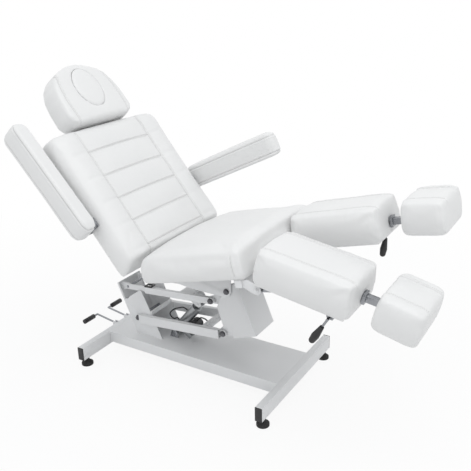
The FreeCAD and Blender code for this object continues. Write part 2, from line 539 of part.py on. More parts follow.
for s in SIDE:
    low_side = plate("low_lug", low_lug, "plate_thick", WORLD, s * (inner - plate_thick / 2) + plate_thick / 2)
    high_side = plate("high_lug", high_lug, "plate_thick", WORLD, s * (lug_out - plate_thick / 2) + plate_thick / 2)
    spacer = block("lug_spacer", "spacer_long", "spacer_wide", "spacer_high", WORLD,
                   fore_high.x + 56, s * (inner + lug_out) / 2, fore_high.z + 10)
    drill = rod("lug_hole", "bore", "across", WORLD, Vector(fore_low.x, -100, fore_low.z))
    lugs.append(cut("low_lug_drilled", low_side, [drill]))
    drill = rod("lug_hole", "bore", "across", WORLD, Vector(fore_high.x, -100, fore_high.z))
    lugs.append(cut("high_lug_drilled", fuse("high_lug_block", [high_side, spacer]), [drill]))
    for point, out, long in ((fore_low, ear_out, "low_bolt"), (fore_high, bar_inside + bar_wide + hair, "high_bolt"),
                             (Vector(tilt_x, 0, tilt_z), 85 + hair, "tilt_bolt")):
        shank = rod("bolt_shank", "pin", long, WORLD, Vector(point.x, s * out, point.z), Vector(0, -s, 0))
        cap = rod("bolt_cap", "head", "head_thick", WORLD, Vector(point.x, s * out, point.z), Vector(0, s, 0))
        bolts.append(fuse("bolt", [shank, cap]))
node("carriage_lugs", group("carriage_lugs", lugs))
node("carriage_bolts", group("carriage_bolts", bolts))

# The linear drive: tube with gear case, motor, rod and cables
size("drive_boss", 14, "radius of the drive's lower eye")
size("drive_boss_wide", 50, "width of the drive's lower eye")
size("neck_long", 36, "neck of the drive")
size("neck_side", 28, "neck of the drive")
size("drive_tube_long", 144, "outer tube of the drive")
size("rod_bore", drive_rod + slip, "bore of the drive's tube")
gear_start = size("gear_start", 36, "gear case from the lower pivot")
size("gear_long", 22, "gear case of the drive")
size("gear_wide", 48, "gear case of the drive")
size("gear_high", drive_tube + motor_off + motor, "gear case of the drive")
gear_z = (drive_tube - motor_off - motor) / 2
parts = [
    rod("drive_boss", "drive_boss", "drive_boss_wide", DRIVE, Vector(0, -D["drive_boss_wide"] / 2, 0)),
    block("drive_neck", "neck_long", "neck_side", "neck_side", DRIVE, D["neck_long"] / 2 + 2, 0, 0),
    block("gear_case", "gear_long", "gear_wide", "gear_high", DRIVE, gear_start + D["gear_long"] / 2, 0, gear_z),
    rod("drive_barrel", "drive_tube", "drive_tube_long", DRIVE, Vector(gear_start, 0, 0), Vector(1, 0, 0)),
]
tools = [
    rod("drive_bore", "rod_bore", "across", DRIVE, Vector(15, 0, 0), Vector(1, 0, 0)),
    rod("drive_eye_hole", "bore", "across", DRIVE, Vector(0, -100, 0)),
]
node("drive_tube", cut("drive_tube", fuse("drive_case", parts), tools))
node("drive_motor", rod("drive_motor", "motor", "motor_long", DRIVE,
                        Vector(gear_start + D["gear_long"], 0, -motor_off), Vector(1, 0, 0)))
rod_start = size("rod_start", 24, "lower end of the rod at rest")
size("rod_long", drive_long - rod_start - drive_eye_bore - 2, "rod of the drive")
size("rod_eye_wide", 22, "width of the rod's eye")
ring = [rod("rod_eye", "drive_eye", "rod_eye_wide", DRIVE, Vector(drive_long, -D["rod_eye_wide"] / 2, 0)),
        rod("rod_bar", "drive_rod", "rod_long", DRIVE, Vector(rod_start, 0, 0), Vector(1, 0, 0))]
node("drive_rod", cut("drive_rod", fuse("rod_and_eye", ring),
                      [rod("rod_eye_hole", "drive_eye_bore", "across", DRIVE, Vector(drive_long, -100, 0))]))


def cord(label, points, radius, frame):
    """A round cord: straight runs joined by tangent arcs. Returns the swept solid as an object."""
    edges = []
    radii = []
    here = points[0]
    for i in range(1, len(points) - 1):
        before = points[i] - points[i - 1]
        after = points[i + 1] - points[i]
        half = before.getAngle(after) / 2
        bend = 0.45 * min(before.Length, after.Length) / math.tan(half)
        back = bend * math.tan(half)
        u = Vector(before).normalize()
        w = Vector(after).normalize()
        start = points[i] - u * back
        end = points[i] + w * back
        inward = (w - u).normalize()
        middle = points[i] + inward * (bend / math.cos(half) - bend)
        edges.append(Part.LineSegment(here, start).toShape())
        edges.append(Part.Arc(start, middle, end).toShape())
        radii.append(bend)
        here = end
    edges.append(Part.LineSegment(here, points[-1]).toShape())
    path = Part.Wire(edges)
    ring = Part.Wire(Part.makeCircle(radius, points[0], points[1] - points[0]))
    solid = path.makePipeShell([ring], True, False)
    share = solid.Volume / (math.pi * radius ** 2 * path.Length)
    print("%s: length %.1f, bend radii %s, volume share %.4f"
          % (label, path.Length, ", ".join("%.1f" % r for r in radii), share))
    obj = doc.addObject("Part::Feature", label)
    obj.Shape = solid
    obj.Placement = frame
    return obj


rear_cord = cord("cord_rear", [Vector(124, 0, drive_tube), Vector(118, 0, 46), Vector(70, 0, 74),
                               Vector(24, 0, 78), Vector(22, 0, 46), Vector(47, 0, 36),
                               Vector(47, 0, drive_tube)], cable, DRIVE)
motor_end = gear_start + D["gear_long"] + motor_long
front_cord = cord("cord_front", [Vector(motor_end, 0, -40), Vector(motor_end + 26, 0, -42),
                                 Vector(motor_end + 46, 0, -76), Vector(motor_end + 10, 0, -100),
                                 Vector(motor_end - 22, 0, -98), Vector(motor_end - 24, 0, -motor_off - motor)],
                  cable, DRIVE)
node("motor_cables", group("motor_cables", [rear_cord, front_cord]))


def section(x, half, low, high, crown, seam=0.0, tuck=10.0, corner=26.0, dip=0.0, side=None, y=0.0):
    """Closed outline of a cushion at x: flat underside, drawn-in bulged sides, crowned top.

    With a seam, the top is three shallow arcs that meet in two grooves.
    """
    side = crown if side is None else side
    corner = min(corner, 0.45 * half, 0.45 * (high - low))
    deep = high - low
    start = (half - tuck, low)
    belly = (half, low + 0.45 * deep)
    shoulder = (half - 0.12 * corner, high - 0.75 * corner)
    round_mid = (half - 0.34 * corner, high - 0.26 * corner)
    edge = (half - corner, high)
    right = [(start, belly, shoulder), (shoulder, round_mid, edge)]
    if seam:
        groove = (seam, high - dip)
        rise = min(side, 0.14 * (edge[0] - seam))
        right.append((edge, ((edge[0] + seam) / 2, high + rise), groove))
        centre = [(groove, (0, high + crown), (-groove[0], groove[1]))]
    else:
        centre = [(edge, (0, high + crown), (-edge[0], edge[1]))]
    left = [tuple((-p[0], p[1]) for p in reversed(arc)) for arc in reversed(right)]
    edges = []
    for arc in right + centre + left:
        a, b, c = (Vector(x, y + p[0], p[1]) for p in arc)
        edges.append(Part.Arc(a, b, c).toShape())
    edges.append(Part.LineSegment(Vector(x, y - start[0], start[1]), Vector(x, y + start[0], start[1])).toShape())
    return Part.Wire(edges)


ROUND_SHARES = ((0.0, 1.0), (0.3, 0.29), (1.0, 0.0))


def cushion(label, x0, x1, half, low, high, crown, frame, seam=0.0, seams=(), round_long=30.0, round_in=24.0,
            tuck=10.0, corner=26.0, puff=8.0, y=0.0, heel=(), heel_long=0.0, bevel=(), bevel_long=0.0):
    """A lofted cushion from x0 to x1: rounded ends, crown, long seams and tufted cross seams.

    Each row is a cross-section: place, side inset, drop of the top, rise of the underside, crown.
    Heel and bevel shares (of their length and of the thickness) slope the top down at an end instead.
    """
    rows = []
    for share, inset in ROUND_SHARES:
        drop = inset * round_in
        flat = max(crown - 0.3 * drop, 1.5)
        if not heel:
            rows.append((x0 + share * round_long, drop, 0.8 * drop, 0.2 * drop, flat))
        if not bevel:
            rows.append((x1 - share * round_long, drop, 0.8 * drop, 0.2 * drop, flat))
    slopes = [(x0 + (1 - along) * heel_long, down) for along, down in heel]
    slopes += [(x1 - (1 - along) * bevel_long, down) for along, down in bevel]
    for x, down in slopes:
        rows.append((x, 0.4 * down * round_in, down * (high - low), 0.0, max(crown * (1 - 2 * down), 1.5)))
    marks = sorted(seams)
    for mark in marks:
        rows += [(mark - 12, 0.0, 0.0, 0.0, crown), (mark, 0.0, 0.0, 0.0, crown - puff),
                 (mark + 12, 0.0, 0.0, 0.0, crown)]
    for a, b in zip(marks, marks[1:]):
        rows.append(((a + b) / 2, 0.0, 0.0, 0.0, crown + 0.5 * puff))
    rows.sort()
    wires = []
    for x, inset, drop, rise, top in rows:
        wires.append(section(x, half - inset, low + rise, high - drop, top, seam * (1 - inset / half), tuck,
                             corner, 1.0 if seam else 0.0, min(crown, top), y))
    obj = doc.addObject("Part::Feature", label)
    obj.Shape = Part.makeLoft(wires, True, True)
    obj.Placement = frame
    return obj


# Seat: side plates with the recline ears, cross tubes with the leg lugs, board, cushion
size("board_long", seat_long - 60, "seat board")
size("board_wide", 2 * seat_half - 50, "seat board")
board_z = -seat_thick - hair - board_thick / 2
under = -seat_thick - hair - board_thick
node("seat_board", block("seat_board", "board_long", "board_wide", "board_thick", SEAT,
                         -D["board_long"] / 2 - 15, 0, board_z))
HEEL_SHARES = ((0.0, 0.0), (0.45, 0.04), (0.75, 0.14), (1.0, 0.36))
heel_run = size("heel_run", 52, "sloped rear end of the seat cushion")
node("seat_cushion", cushion("seat_cushion", -seat_long, 0, seat_half, -seat_thick, 0, 16, SEAT,
                             round_long=34, round_in=20, tuck=14, corner=30, heel=HEEL_SHARES,
                             heel_long=heel_run))
front_line = SEAT.multVec(Vector(-seat_long / 2 + 35, 0, under))
rear_line = SEAT.multVec(Vector(-seat_long - 35, 0, under))
side_in = size("side_in", 80, "inner face of a seat side plate from the middle")
side_drop = size("side_drop", 27, "lower edge of a seat side plate below the tilt pivot")
span = recline_x - tilt_x
side_shape = [
    (front_line.x, front_line.z),
    (tilt_x + 20, tilt_z - 1),
    (tilt_x + 14, tilt_z - 18),
    (tilt_x - 4, tilt_z - side_drop),
    (tilt_x + 0.34 * span, tilt_z - side_drop),
    (tilt_x + 0.61 * span, tilt_z - side_drop + 2),
    (tilt_x + 0.83 * span, tilt_z - side_drop + 10),
    (recline_x + 3, recline_z - 63),
    (recline_x - 17, recline_z - 26),
    (recline_x - 17, recline_z + 4),
    (recline_x - 10, recline_z + 14),
    (recline_x + 6, recline_z + 15),
    (recline_x + 15, recline_z + 5),
    (recline_x + 16, rear_line.z + 2),
    (rear_line.x, rear_line.z),
]
size("recline_stud", 16, "recline stud on a seat side plate")
for s in SIDE:
    name = "seat_side_" + SIDE[s]
    flat = plate(name + "_sheet", side_shape, "plate_thick", WORLD, s * (side_in + plate_thick / 2) + plate_thick / 2)
    hole = rod(name + "_hole", "bore", "across", WORLD, Vector(tilt_x, -100, tilt_z))
    stud = rod(name + "_stud", "pin", "recline_stud", WORLD, Vector(recline_x, s * side_in, recline_z),
               Vector(0, s, 0))
    node(name, fuse(name, [cut(name + "_drilled", flat, [hole]), stud]))
size("seat_tube", 30, "side of the seat's cross tubes")
size("seat_front_tube", 576, "front cross tube of the seat")
size("seat_rear_tube", 2 * side_in, "rear cross tube of the seat")
tube_mid = under - D["seat_tube"] / 2
kx, kz = knee_ahead, -knee_below
tube_front = -30
lug_shape = [(tube_front, under - 2), (-8, under - 2), (kx + 12, kz + 16), (kx + 19, kz + 4), (kx + 17, kz - 12),
             (kx + 4, kz - 20), (kx - 12, kz - 16), (tube_front, under - 30)]
size("knee_outer_pin", 24, "outer leg pin")
size("knee_inner_pin", 21, "inner leg pin")
knee_out = size("knee_out", 277.5, "outer leg lug from the middle")
knee_in = size("knee_in", 84, "inner leg lug from the middle")
half_tube = D["seat_tube"] / 2
members = [block("seat_front_tube", "seat_tube", "seat_front_tube", "seat_tube", SEAT,
                 tube_front - half_tube, 0, tube_mid),
           block("seat_rear_tube", "seat_tube", "seat_rear_tube", "seat_tube", SEAT, 80 - seat_long, 0, tube_mid)]
for s in SIDE:
    for near, long, start in ((knee_out, "knee_outer_pin", knee_out - 11), (knee_in, "knee_inner_pin", knee_in - 4)):
        lug = plate("knee_lug", lug_shape, "plate_thick", SEAT, s * (near + plate_thick / 2) + plate_thick / 2)
        lug_pin = rod("knee_pin", "pin", long, SEAT, Vector(kx, s * start, kz), Vector(0, s, 0))
        pieces = [lug, lug_pin]
        if near == knee_out:
            pieces.append(rod("knee_head", "head", "plate_thick", SEAT,
                              Vector(kx, s * (knee_out + plate_thick), kz), Vector(0, s, 0)))
        members.append(fuse("knee_lug_and_pin", pieces))
node("seat_cross_members", group("seat_cross_members", members))

# Backrest: rails with hinge ears, board, cushion, armrest brackets and headrest sockets
back_under = -back_thick - hair - board_thick
size("back_board_long", back_up + back_down - 30, "back board")
size("back_board_wide", 2 * back_half - 50, "back board")
board_mid = (-back_up + back_down) / 2
node("back_board", block("back_board", "back_board_long", "back_board_wide", "board_thick", BACK,
                         board_mid, 0, -back_thick - hair - board_thick / 2))
seam_rows = [-442, -329, -222, -115, 0]
BEVEL_SHARES = ((0.0, 0.0), (0.25, 0.06), (0.5, 0.22), (0.75, 0.46), (1.0, 0.78))
bevel_run = size("bevel_run", 46, "sloped lower end of the back cushion")
node("back_cushion", cushion("back_cushion", -back_up, back_down, back_half, -back_thick, 0, 12, BACK,
                             seam=back_seam, seams=seam_rows, round_long=46, round_in=34, tuck=12, corner=34,
                             bevel=BEVEL_SHARES, bevel_long=bevel_run))
rail_in = size("rail_in", 88, "inner face of a back rail from the middle")
size("rail_long", back_up - 85, "back rail")
size("rail_side", 20, "side of a back rail")
hx, hz = local(BACK, recline_x, recline_z)
rail_mid = back_under - D["rail_side"] / 2
ear_shape = [(20, back_under - 20), (hx - 8, back_under - 20), (hx + 15, hz - 10), (hx + 15, hz + 7),
             (hx + 6, hz + 14), (hx - 7, hz + 12), (hx - 13, hz + 2), (hx - 13, back_under + 4),
             (hx - 22, back_under - 1), (20, back_under - 1)]
rails = []
for s in SIDE:
    rail = block("back_rail", "rail_long", "rail_side", "rail_side", BACK, 50 - D["rail_long"] / 2,
                 s * (rail_in + D["rail_side"] / 2), rail_mid)
    ear = plate("back_ear", ear_shape, "plate_thick", BACK, s * (rail_in + plate_thick / 2) + plate_thick / 2)
    hole = rod("back_ear_hole", "bore", "across", BACK, Vector(hx, -100, hz))
    rails.append(cut("back_rail_and_ear", fuse("back_rail_welded", [rail, ear]), [hole]))
node("back_frame", group("back_frame", rails))

ex, ez = -elbow_up, -elbow_deep
rest_pin = size("rest_pin", 8, "radius of an armrest pin")
rest_bore = size("rest_bore", rest_pin + slip, "bore of an armrest disc")
size("rest_pin_long", 15, "armrest pin")
size("tab_long", 40, "armrest bracket along the back")
size("tab_wide", 84, "armrest bracket behind the board")
size("tab_high", ez + 20 - (back_under - plate_thick), "armrest bracket, front to rear")
tab_in = size("tab_in", 329, "inner face of an armrest bracket from the middle")
tabs = []
for s in SIDE:
    side_leaf = block("rest_side_leaf", "tab_long", "plate_thick", "tab_high", BACK,
                      ex, s * (tab_in + plate_thick / 2), back_under - plate_thick + D["tab_high"] / 2)
    rear_leaf = block("rest_rear_leaf", "tab_long", "tab_wide", "plate_thick", BACK,
                      ex, s * (tab_in + plate_thick - D["tab_wide"] / 2), back_under - plate_thick / 2)
    stud = rod("rest_stud", "rest_pin", "rest_pin_long", BACK, Vector(ex, s * tab_in, ez), Vector(0, s, 0))
    tabs.append(fuse("rest_tab", [side_leaf, rear_leaf, stud]))

bar_y = size("head_bar_y", 60, "headrest bar from the middle")
head_bar = size("head_bar", 6, "radius of a headrest bar")
size("socket", 10, "radius of a headrest socket")
size("socket_long", 125, "headrest socket")
size("head_bar_long", 390, "headrest bar")
bar_z = back_under - D["socket"]
sockets = []
for s in SIDE:
    tube = rod("head_socket", "socket", "socket_long", BACK, Vector(-back_up + 16, s * bar_y, bar_z), Vector(1, 0, 0))
    hole = rod("head_socket_hole", "bore", "head_bar_long", BACK, Vector(-back_up - 40, s * bar_y, bar_z),
               Vector(1, 0, 0))
    sockets.append(cut("head_socket_open", tube, [hole]))
node("back_fittings", group("back_fittings", tabs + sockets))

# Headrest: bars with blocks, board, tapered cushion with an oval insert
head_mid = -(head_low + head_top) / 2
size("head_board_long", 0.6 * (head_top - head_low), "headrest board")
size("head_board_wide", 1.24 * head_half, "headrest board")
head_board_z = head_back - hair - board_thick / 2
node("headrest_board", block("headrest_board", "head_board_long", "head_board_wide", "board_thick", BACK,
                             -head_low - 120, 0, head_board_z))
block_top = head_board_z - board_thick / 2
size("head_block_long", 120, "block on a headrest bar")
size("head_block_wide", 24, "block on a headrest bar")
size("head_block_high", block_top - bar_z + 8, "block on a headrest bar")
bars = []
for s in SIDE:
    bar = rod("head_bar_round", "head_bar", "head_bar_long", BACK, Vector(-head_low - 200, s * bar_y, bar_z),
              Vector(1, 0, 0))
    lift = block("head_bar_block", "head_block_long", "head_block_wide", "head_block_high", BACK,
                 -head_low - 120, s * bar_y, block_top - D["head_block_high"] / 2)
    bars.append(fuse("head_bar", [bar, lift]))
node("headrest_bars", group("headrest_bars", bars))
HEAD_SHARES = ((0.0, 0.82, 0.80), (0.05, 0.93, 0.95), (0.14, 1.0, 1.0), (0.4, 0.985, 1.0), (0.6, 0.93, 1.0),
               (0.75, 0.82, 1.0), (0.88, 0.62, 0.97), (0.96, 0.38, 0.85), (1.0, 0.2, 0.7))
wires = []
for share, wide, deep in reversed(HEAD_SHARES):
    middle_z = (head_front + head_back) / 2
    half_deep = (head_front - head_back) / 2 * deep
    wires.append(section(-head_low - share * (head_top - head_low), head_half * wide, middle_z - half_deep,
                         middle_z + half_deep, 6 * deep, tuck=10 * wide))
pillow = doc.addObject("Part::Feature", "headrest_pillow")
pillow.Shape = Part.makeLoft(wires, True, True)
pillow.Placement = BACK
face_x = size("face_x", -712, "middle of the oval face insert")


def oval(label, long, wide, low, high, rise, frame):
    """An upright oval plug with a slightly domed top."""
    rings = []
    for share, z in ((1.0, low), (1.0, high), (0.9, high + 0.6 * rise), (0.6, high + rise)):
        ellipse = Part.Ellipse(Vector(face_x, 0, z), long * share, wide * share).toShape()
        rings.append(Part.Wire(ellipse))
    obj = doc.addObject("Part::Feature", label)
    obj.Shape = Part.makeLoft(rings, True, True)
    obj.Placement = frame
    return obj


pocket = oval("face_pocket", face_long + hair, face_wide + hair, head_front - face_deep, head_front + 30, 1, BACK)
node("headrest_cushion", cut("headrest_cushion", pillow, [pocket]))
node("face_insert", oval("face_insert", face_long, face_wide, head_front - face_deep + hair, head_front + 1, 9, BACK))

# Armrests: a disc that turns on the bracket's pin, and the cushion
size("disc", 21, "radius of an armrest disc")
size("disc_thick", rest_in - hair - (tab_in + plate_thick + 0.6), "thickness of an armrest disc")
for s in SIDE:
    inner_y = tab_in + plate_thick + 0.6
    disc = rod("rest_disc", "disc", "disc_thick", ARM[s], Vector(0, s * inner_y, 0), Vector(0, s, 0))
    hole = rod("rest_disc_hole", "rest_bore", "across", ARM[s], Vector(0, s * 250, 0), Vector(0, s, 0))
    name = "armrest_disc_" + SIDE[s]
    node(name, cut(name, disc, [hole]))
    name = "armrest_cushion_" + SIDE[s]
    node(name, cushion(name, rest_start, rest_end, rest_half, rest_low, rest_high, 4, ARM[s], round_long=30,
                       round_in=15, tuck=5, corner=20, y=s * (rest_in + rest_half)))

# Legs: board, fittings, cushion, clamp lever, foot bar and foot pad
size("leg_board_long", leg_end - leg_start - 30, "leg board")
size("leg_board_wide", 2 * leg_half - 30, "leg board")
board_low = leg_low - hair - board_thick
leg_mid = (leg_start + leg_end) / 2
size("sleeve_long", 270, "square sleeve in a leg")
size("sleeve_hole", sleeve + 2 * hair, "hole round the sleeve")
size("sleeve_over", 300, "cutter longer than the sleeve")
size("sleeve_post_long", 40, "post under the sleeve")
size("sleeve_post_high", foot_bar_up - sleeve / 2 - (leg_low - hair) + 1, "post under the sleeve")
size("post_hole_long", 40 + 2 * hair, "hole round the post")
size("collar_long", 12, "collar at the mouth of the sleeve")
size("collar_side", 40, "collar at the mouth of the sleeve")
size("spindle", 6, "radius of the threaded spindle under a leg")
size("spindle_long", 250, "threaded spindle under a leg")
size("spindle_tab_long", 8, "holder of the spindle")
size("spindle_tab_wide", 18, "holder of the spindle")
size("spindle_tab_high", 20, "holder of the spindle")
size("lever_pin", 5, "radius of a leg lever's shaft")
size("lever_bore", 5 + slip, "bore for a leg lever's shaft")
size("lever_shaft_long", 50, "shaft of a leg lever")
size("lever_stem", 4.5, "radius of a leg lever's stem")
size("lever_stem_long", 62, "stem of a leg lever")
size("grip_neck", 8, "neck of a pear grip")
size("grip_belly", 14.5, "belly of a pear grip")
size("grip_tail", 12, "end of a pear grip")
size("grip_upper", 48, "upper part of a pear grip")
size("grip_lower", 22, "lower part of a pear grip")
size("stem_bore", 4.5 + slip, "bore of a pear grip")
size("foot_bar_long", 345, "square foot bar")
size("foot_bar_inside", foot_bar - 4, "inside of the square foot bar")
size("foot_bar_hole", foot_bar + 2 * hair, "hole round the foot bar")
size("foot_bar_over", 400, "cutter longer than the foot bar")
lever_a = size("lever_a", 285, "leg lever pivot past the hinge")
lever_b = size("lever_b", 12, "leg lever pivot above the hinge")
lever_y = size("lever_y", 300, "leg lever from the chair's middle")
ear_leg = [(-12, -7), (4, -14), (14, -6), (60, 12), (60, board_low), (-1, board_low), (-13, 6)]
lever_tab = [(lever_a - 22, board_low), (lever_a - 10, lever_b - 10), (lever_a + 10, lever_b - 10),
             (lever_a + 22, board_low)]
for s in SIDE:
    leg = LEG[s]
    side = SIDE[s]
    y = s * leg_middle
    node("leg_board_" + side, block("leg_board_" + side, "leg_board_long", "leg_board_wide", "board_thick", leg,
                                    leg_mid, y, board_low + board_thick / 2))
    sleeve_x = leg_end + 4 - D["sleeve_long"] / 2
    outer = block("sleeve_outer", "sleeve_long", "sleeve", "sleeve", leg, sleeve_x, y, foot_bar_up)
    collar = block("sleeve_collar", "collar_long", "collar_side", "collar_side", leg,
                   leg_end + 3 + D["collar_long"] / 2, y, foot_bar_up)
    posts = [block("sleeve_post", "sleeve_post_long", "cross_bar", "sleeve_post_high", leg, x, y,
                   leg_low - hair + D["sleeve_post_high"] / 2) for x in (140, 290)]
    inner_hole = block("sleeve_inner", "sleeve_over", "sleeve_bore", "sleeve_bore", leg,
                       sleeve_x + 10, y, foot_bar_up)
    fittings = [cut("sleeve_open", fuse("sleeve_welded", [outer, collar] + posts), [inner_hole])]
    for near in (knee_out - 8.5, knee_in + 8):
        ear = plate("leg_ear", ear_leg, "plate_thick", leg, s * (near + plate_thick / 2) + plate_thick / 2)
        hole = rod("leg_ear_hole", "bore", "sleeve_over", leg, Vector(0, s * 50, 0), Vector(0, s, 0))
        fittings.append(cut("leg_ear_drilled", ear, [hole]))
    rail_y = s * (knee_out - 22)
    spindle_z = board_low - 8
    bar = rod("spindle_bar", "spindle", "spindle_long", leg, Vector(24, rail_y, spindle_z), Vector(1, 0, 0))
    holders = [block("spindle_holder", "spindle_tab_long", "spindle_tab_wide", "spindle_tab_high", leg, x, rail_y,
                     board_low - D["spindle_tab_high"] / 2) for x in (60, 180, 258)]
    fittings.append(fuse("spindle_set", [bar] + holders))
    lever_hold = plate("lever_tab", lever_tab, "plate_thick", leg, s * 276 + plate_thick / 2)
    lever_drill = rod("lever_tab_hole", "lever_bore", "across", leg, Vector(lever_a, s * 200, lever_b),
                      Vector(0, s, 0))
    fittings.append(cut("lever_tab_drilled", lever_hold, [lever_drill]))
    node("leg_fittings_" + side, group("leg_fittings_" + side, fittings))

    soft = cushion("leg_soft", leg_start, leg_end, leg_half, leg_low, leg_top, 8, leg, seam=leg_seam,
                   round_long=34, round_in=22, tuck=12, corner=23, y=y)
    tunnel = block("leg_tunnel", "sleeve_over", "sleeve_hole", "sleeve_hole", leg,
                   leg_end + 4 - D["sleeve_long"] - hair + D["sleeve_over"] / 2, y, foot_bar_up)
    shafts = [block("leg_post_hole", "post_hole_long", "sleeve_hole", "arm_high", leg, x, y, leg_low + 10)
              for x in (140, 290)]
    name = "leg_cushion_" + side
    node(name, cut(name, soft, [tunnel] + shafts))

    down = Vector(-29, 0, -75)
    shaft = rod("lever_shaft", "lever_pin", "lever_shaft_long", leg, Vector(lever_a, s * 256, lever_b),
                Vector(0, s, 0))
    drop = rod("lever_drop", "lever_stem", "lever_stem_long", leg, Vector(lever_a, s * lever_y, lever_b), down)
    name = "leg_lever_" + side
    node(name, fuse(name, [shaft, drop]))
    unit = Vector(down).normalize()
    top = Vector(lever_a, s * lever_y, lever_b) + unit * 36
    low = top + unit * D["grip_upper"]
    last = low + unit * D["grip_lower"]
    ball = doc.addObject("Part::Sphere", "grip_ball")
    bind(ball, Radius="grip_tail")
    ball.Placement = leg.multiply(Placement(last, Rotation()))
    pear = fuse("grip_pear", [cone("grip_cone", "grip_neck", "grip_belly", "grip_upper", leg, top, down),
                              cone("grip_end", "grip_belly", "grip_tail", "grip_lower", leg, low, down), ball])
    hole = rod("grip_hole", "stem_bore", "lever_stem_long", leg, Vector(lever_a, s * lever_y, lever_b), down)
    name = "leg_grip_" + side
    node(name, cut(name, pear, [hole]))

    bar_x = foot_start + 110 - D["foot_bar_long"] / 2
    outside = block("foot_bar_outside", "foot_bar_long", "foot_bar", "foot_bar", leg, bar_x, y, foot_bar_up)
    inside = block("foot_bar_void", "foot_bar_over", "foot_bar_inside", "foot_bar_inside", leg, bar_x, y, foot_bar_up)
    name = "foot_bar_" + side
    node(name, cut(name, outside, [inside]))
    pad_frame = leg.multiply(at(foot_start, foot_top, -foot_dip))
    pad = cushion("foot_soft", 0, foot_long, foot_half, -foot_thick, 0, 8, pad_frame, seam=leg_seam * 0.85,
                  round_long=30, round_in=20, tuck=12, corner=25, y=s * foot_middle)
    socket = block("foot_socket", "foot_bar_over", "foot_bar_hole", "foot_bar_hole", leg,
                   foot_start + 110 + hair - D["foot_bar_over"] / 2, y, foot_bar_up)
    name = "foot_cushion_" + side
    node(name, cut(name, pad, [socket]))

doc.recompute()
bad = []
for obj in doc.Objects:
    state = [word for word in obj.State if word in ("Invalid", "Error")]
    if state:
        bad.append((obj.Label, state))
os.makedirs("parts", exist_ok=True)
for name, obj in NODES:
    shape = obj.Shape
    if shape.isNull() or not shape.isValid() or not shape.Solids:
        bad.append((name, "shape"))
        continue
    box = shape.BoundBox
    print("%-26s solids %d  volume %.0f  x %.1f %.1f  y %.1f %.1f  z %.1f %.1f"
          % (name, len(shape.Solids), shape.Volume, box.XMin, box.XMax, box.YMin, box.YMax, box.ZMin, box.ZMax))
if bad:
    raise RuntimeError("faulty objects: %s" % bad)
for name, obj in NODES:
    obj.Shape.exportStep("parts/%s.step" % name)
print("%d pieces written" % len(NODES))
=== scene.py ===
# %% [markdown]
# # A podiatry chair, dressed in Blender
# The metal of this chair is already modelled: every tube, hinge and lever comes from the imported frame.
# What is left is its looks: foam pads under a stitched white cover, painted steel, zinc, black plastic.
# We load the frame first, because every new piece is placed by the frame's own positions, in metres.

# %% Load the frame
import json
import math
import bmesh
import bpy
import numpy as np
from mathutils import Matrix, Vector
from mathutils.bvhtree import BVHTree


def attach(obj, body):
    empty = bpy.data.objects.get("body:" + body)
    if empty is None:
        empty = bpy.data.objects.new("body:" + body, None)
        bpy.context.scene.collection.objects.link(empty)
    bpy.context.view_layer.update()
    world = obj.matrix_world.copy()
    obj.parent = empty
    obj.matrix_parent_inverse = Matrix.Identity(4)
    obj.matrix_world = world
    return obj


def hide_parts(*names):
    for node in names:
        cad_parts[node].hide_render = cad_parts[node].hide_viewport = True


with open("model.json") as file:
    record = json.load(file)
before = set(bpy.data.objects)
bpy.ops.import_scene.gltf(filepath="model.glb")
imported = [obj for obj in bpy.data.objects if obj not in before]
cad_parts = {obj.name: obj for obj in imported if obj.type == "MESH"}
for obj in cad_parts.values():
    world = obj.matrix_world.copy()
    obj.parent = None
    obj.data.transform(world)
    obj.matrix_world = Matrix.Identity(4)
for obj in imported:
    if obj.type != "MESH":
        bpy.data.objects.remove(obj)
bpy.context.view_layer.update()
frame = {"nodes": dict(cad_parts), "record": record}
scene = bpy.context.scene
scene.view_settings.view_transform = "Standard"

# %% [markdown]
# Each padded part of the chair leans in its own way. A part's place is an origin and a slope in the side
# view, so one small table says how seat, back, elbows, knees and feet lie. `along` runs the length of the
# part, `up` comes out of its cover, and `across` is negative on the chair's right side.

# %% Places of the leaning parts
SIDES = {"right": -1, "left": 1}


def leaning(x, z, slope):
    """An origin and three unit rows: world = origin + along * row 0 + across * row 1 + up * row 2."""
    c, s = math.cos(math.radians(slope)), math.sin(math.radians(slope))
    return np.array([x, 0.0, z]), np.array([[c, 0.0, s], [0.0, 1.0, 0.0], [-s, 0.0, c]])


def to_world(place, local):
    """Local (along, across, up) to world: the origin plus the local numbers times the rows."""
    return place[0] + np.asarray(local, float) @ place[1]


def to_local(place, world):
    """World to local: the offset from the origin, measured along each row."""
    return (np.asarray(world, float) - place[0]) @ place[1].T


SEAT = leaning(0.368425, 0.711897, 14.57)
BACK = leaning(-0.122340, 0.609547, -51.35)
ELBOW = {side: leaning(-0.273670, 0.713756, slope) for side, slope in (("right", 132.3), ("left", 25.9))}
KNEE_SLOPE = {"right": -9.7, "left": 14.57}
KNEE = {side: leaning(0.428971, 0.568, slope) for side, slope in KNEE_SLOPE.items()}
HEEL_FROM_KNEE, FOOT_DIP = [0.437, 0.0, 0.163], 4.3
FOOT = {}
for side, slope in KNEE_SLOPE.items():
    heel = to_world(KNEE[side], HEEL_FROM_KNEE)
    FOOT[side] = leaning(heel[0], heel[2], slope - FOOT_DIP)
heights = [round(float(FOOT[side][0][2]), 3) for side in SIDES]
print("places: seat, back, elbows, knees, feet; heels at", heights, "m")

# %% [markdown]
# The camera stands where the photographer stood: in front and to the chair's right, a little above the seat.
# The lens and the small shift come from the chair's own straight edges, so no piece has to be bent to fit.

# %% Camera
AZIMUTH, ELEVATION, ROLL = (math.radians(v) for v in (31.1283, 21.0373, -1.1124))
CAMERA_AT = (1.48348, -2.11908, 1.58821)


def linked(name, data):
    """A new object made of a mesh, lamp or camera, linked to the scene."""
    obj = bpy.data.objects.new(name, data)
    scene.collection.objects.link(obj)
    return obj


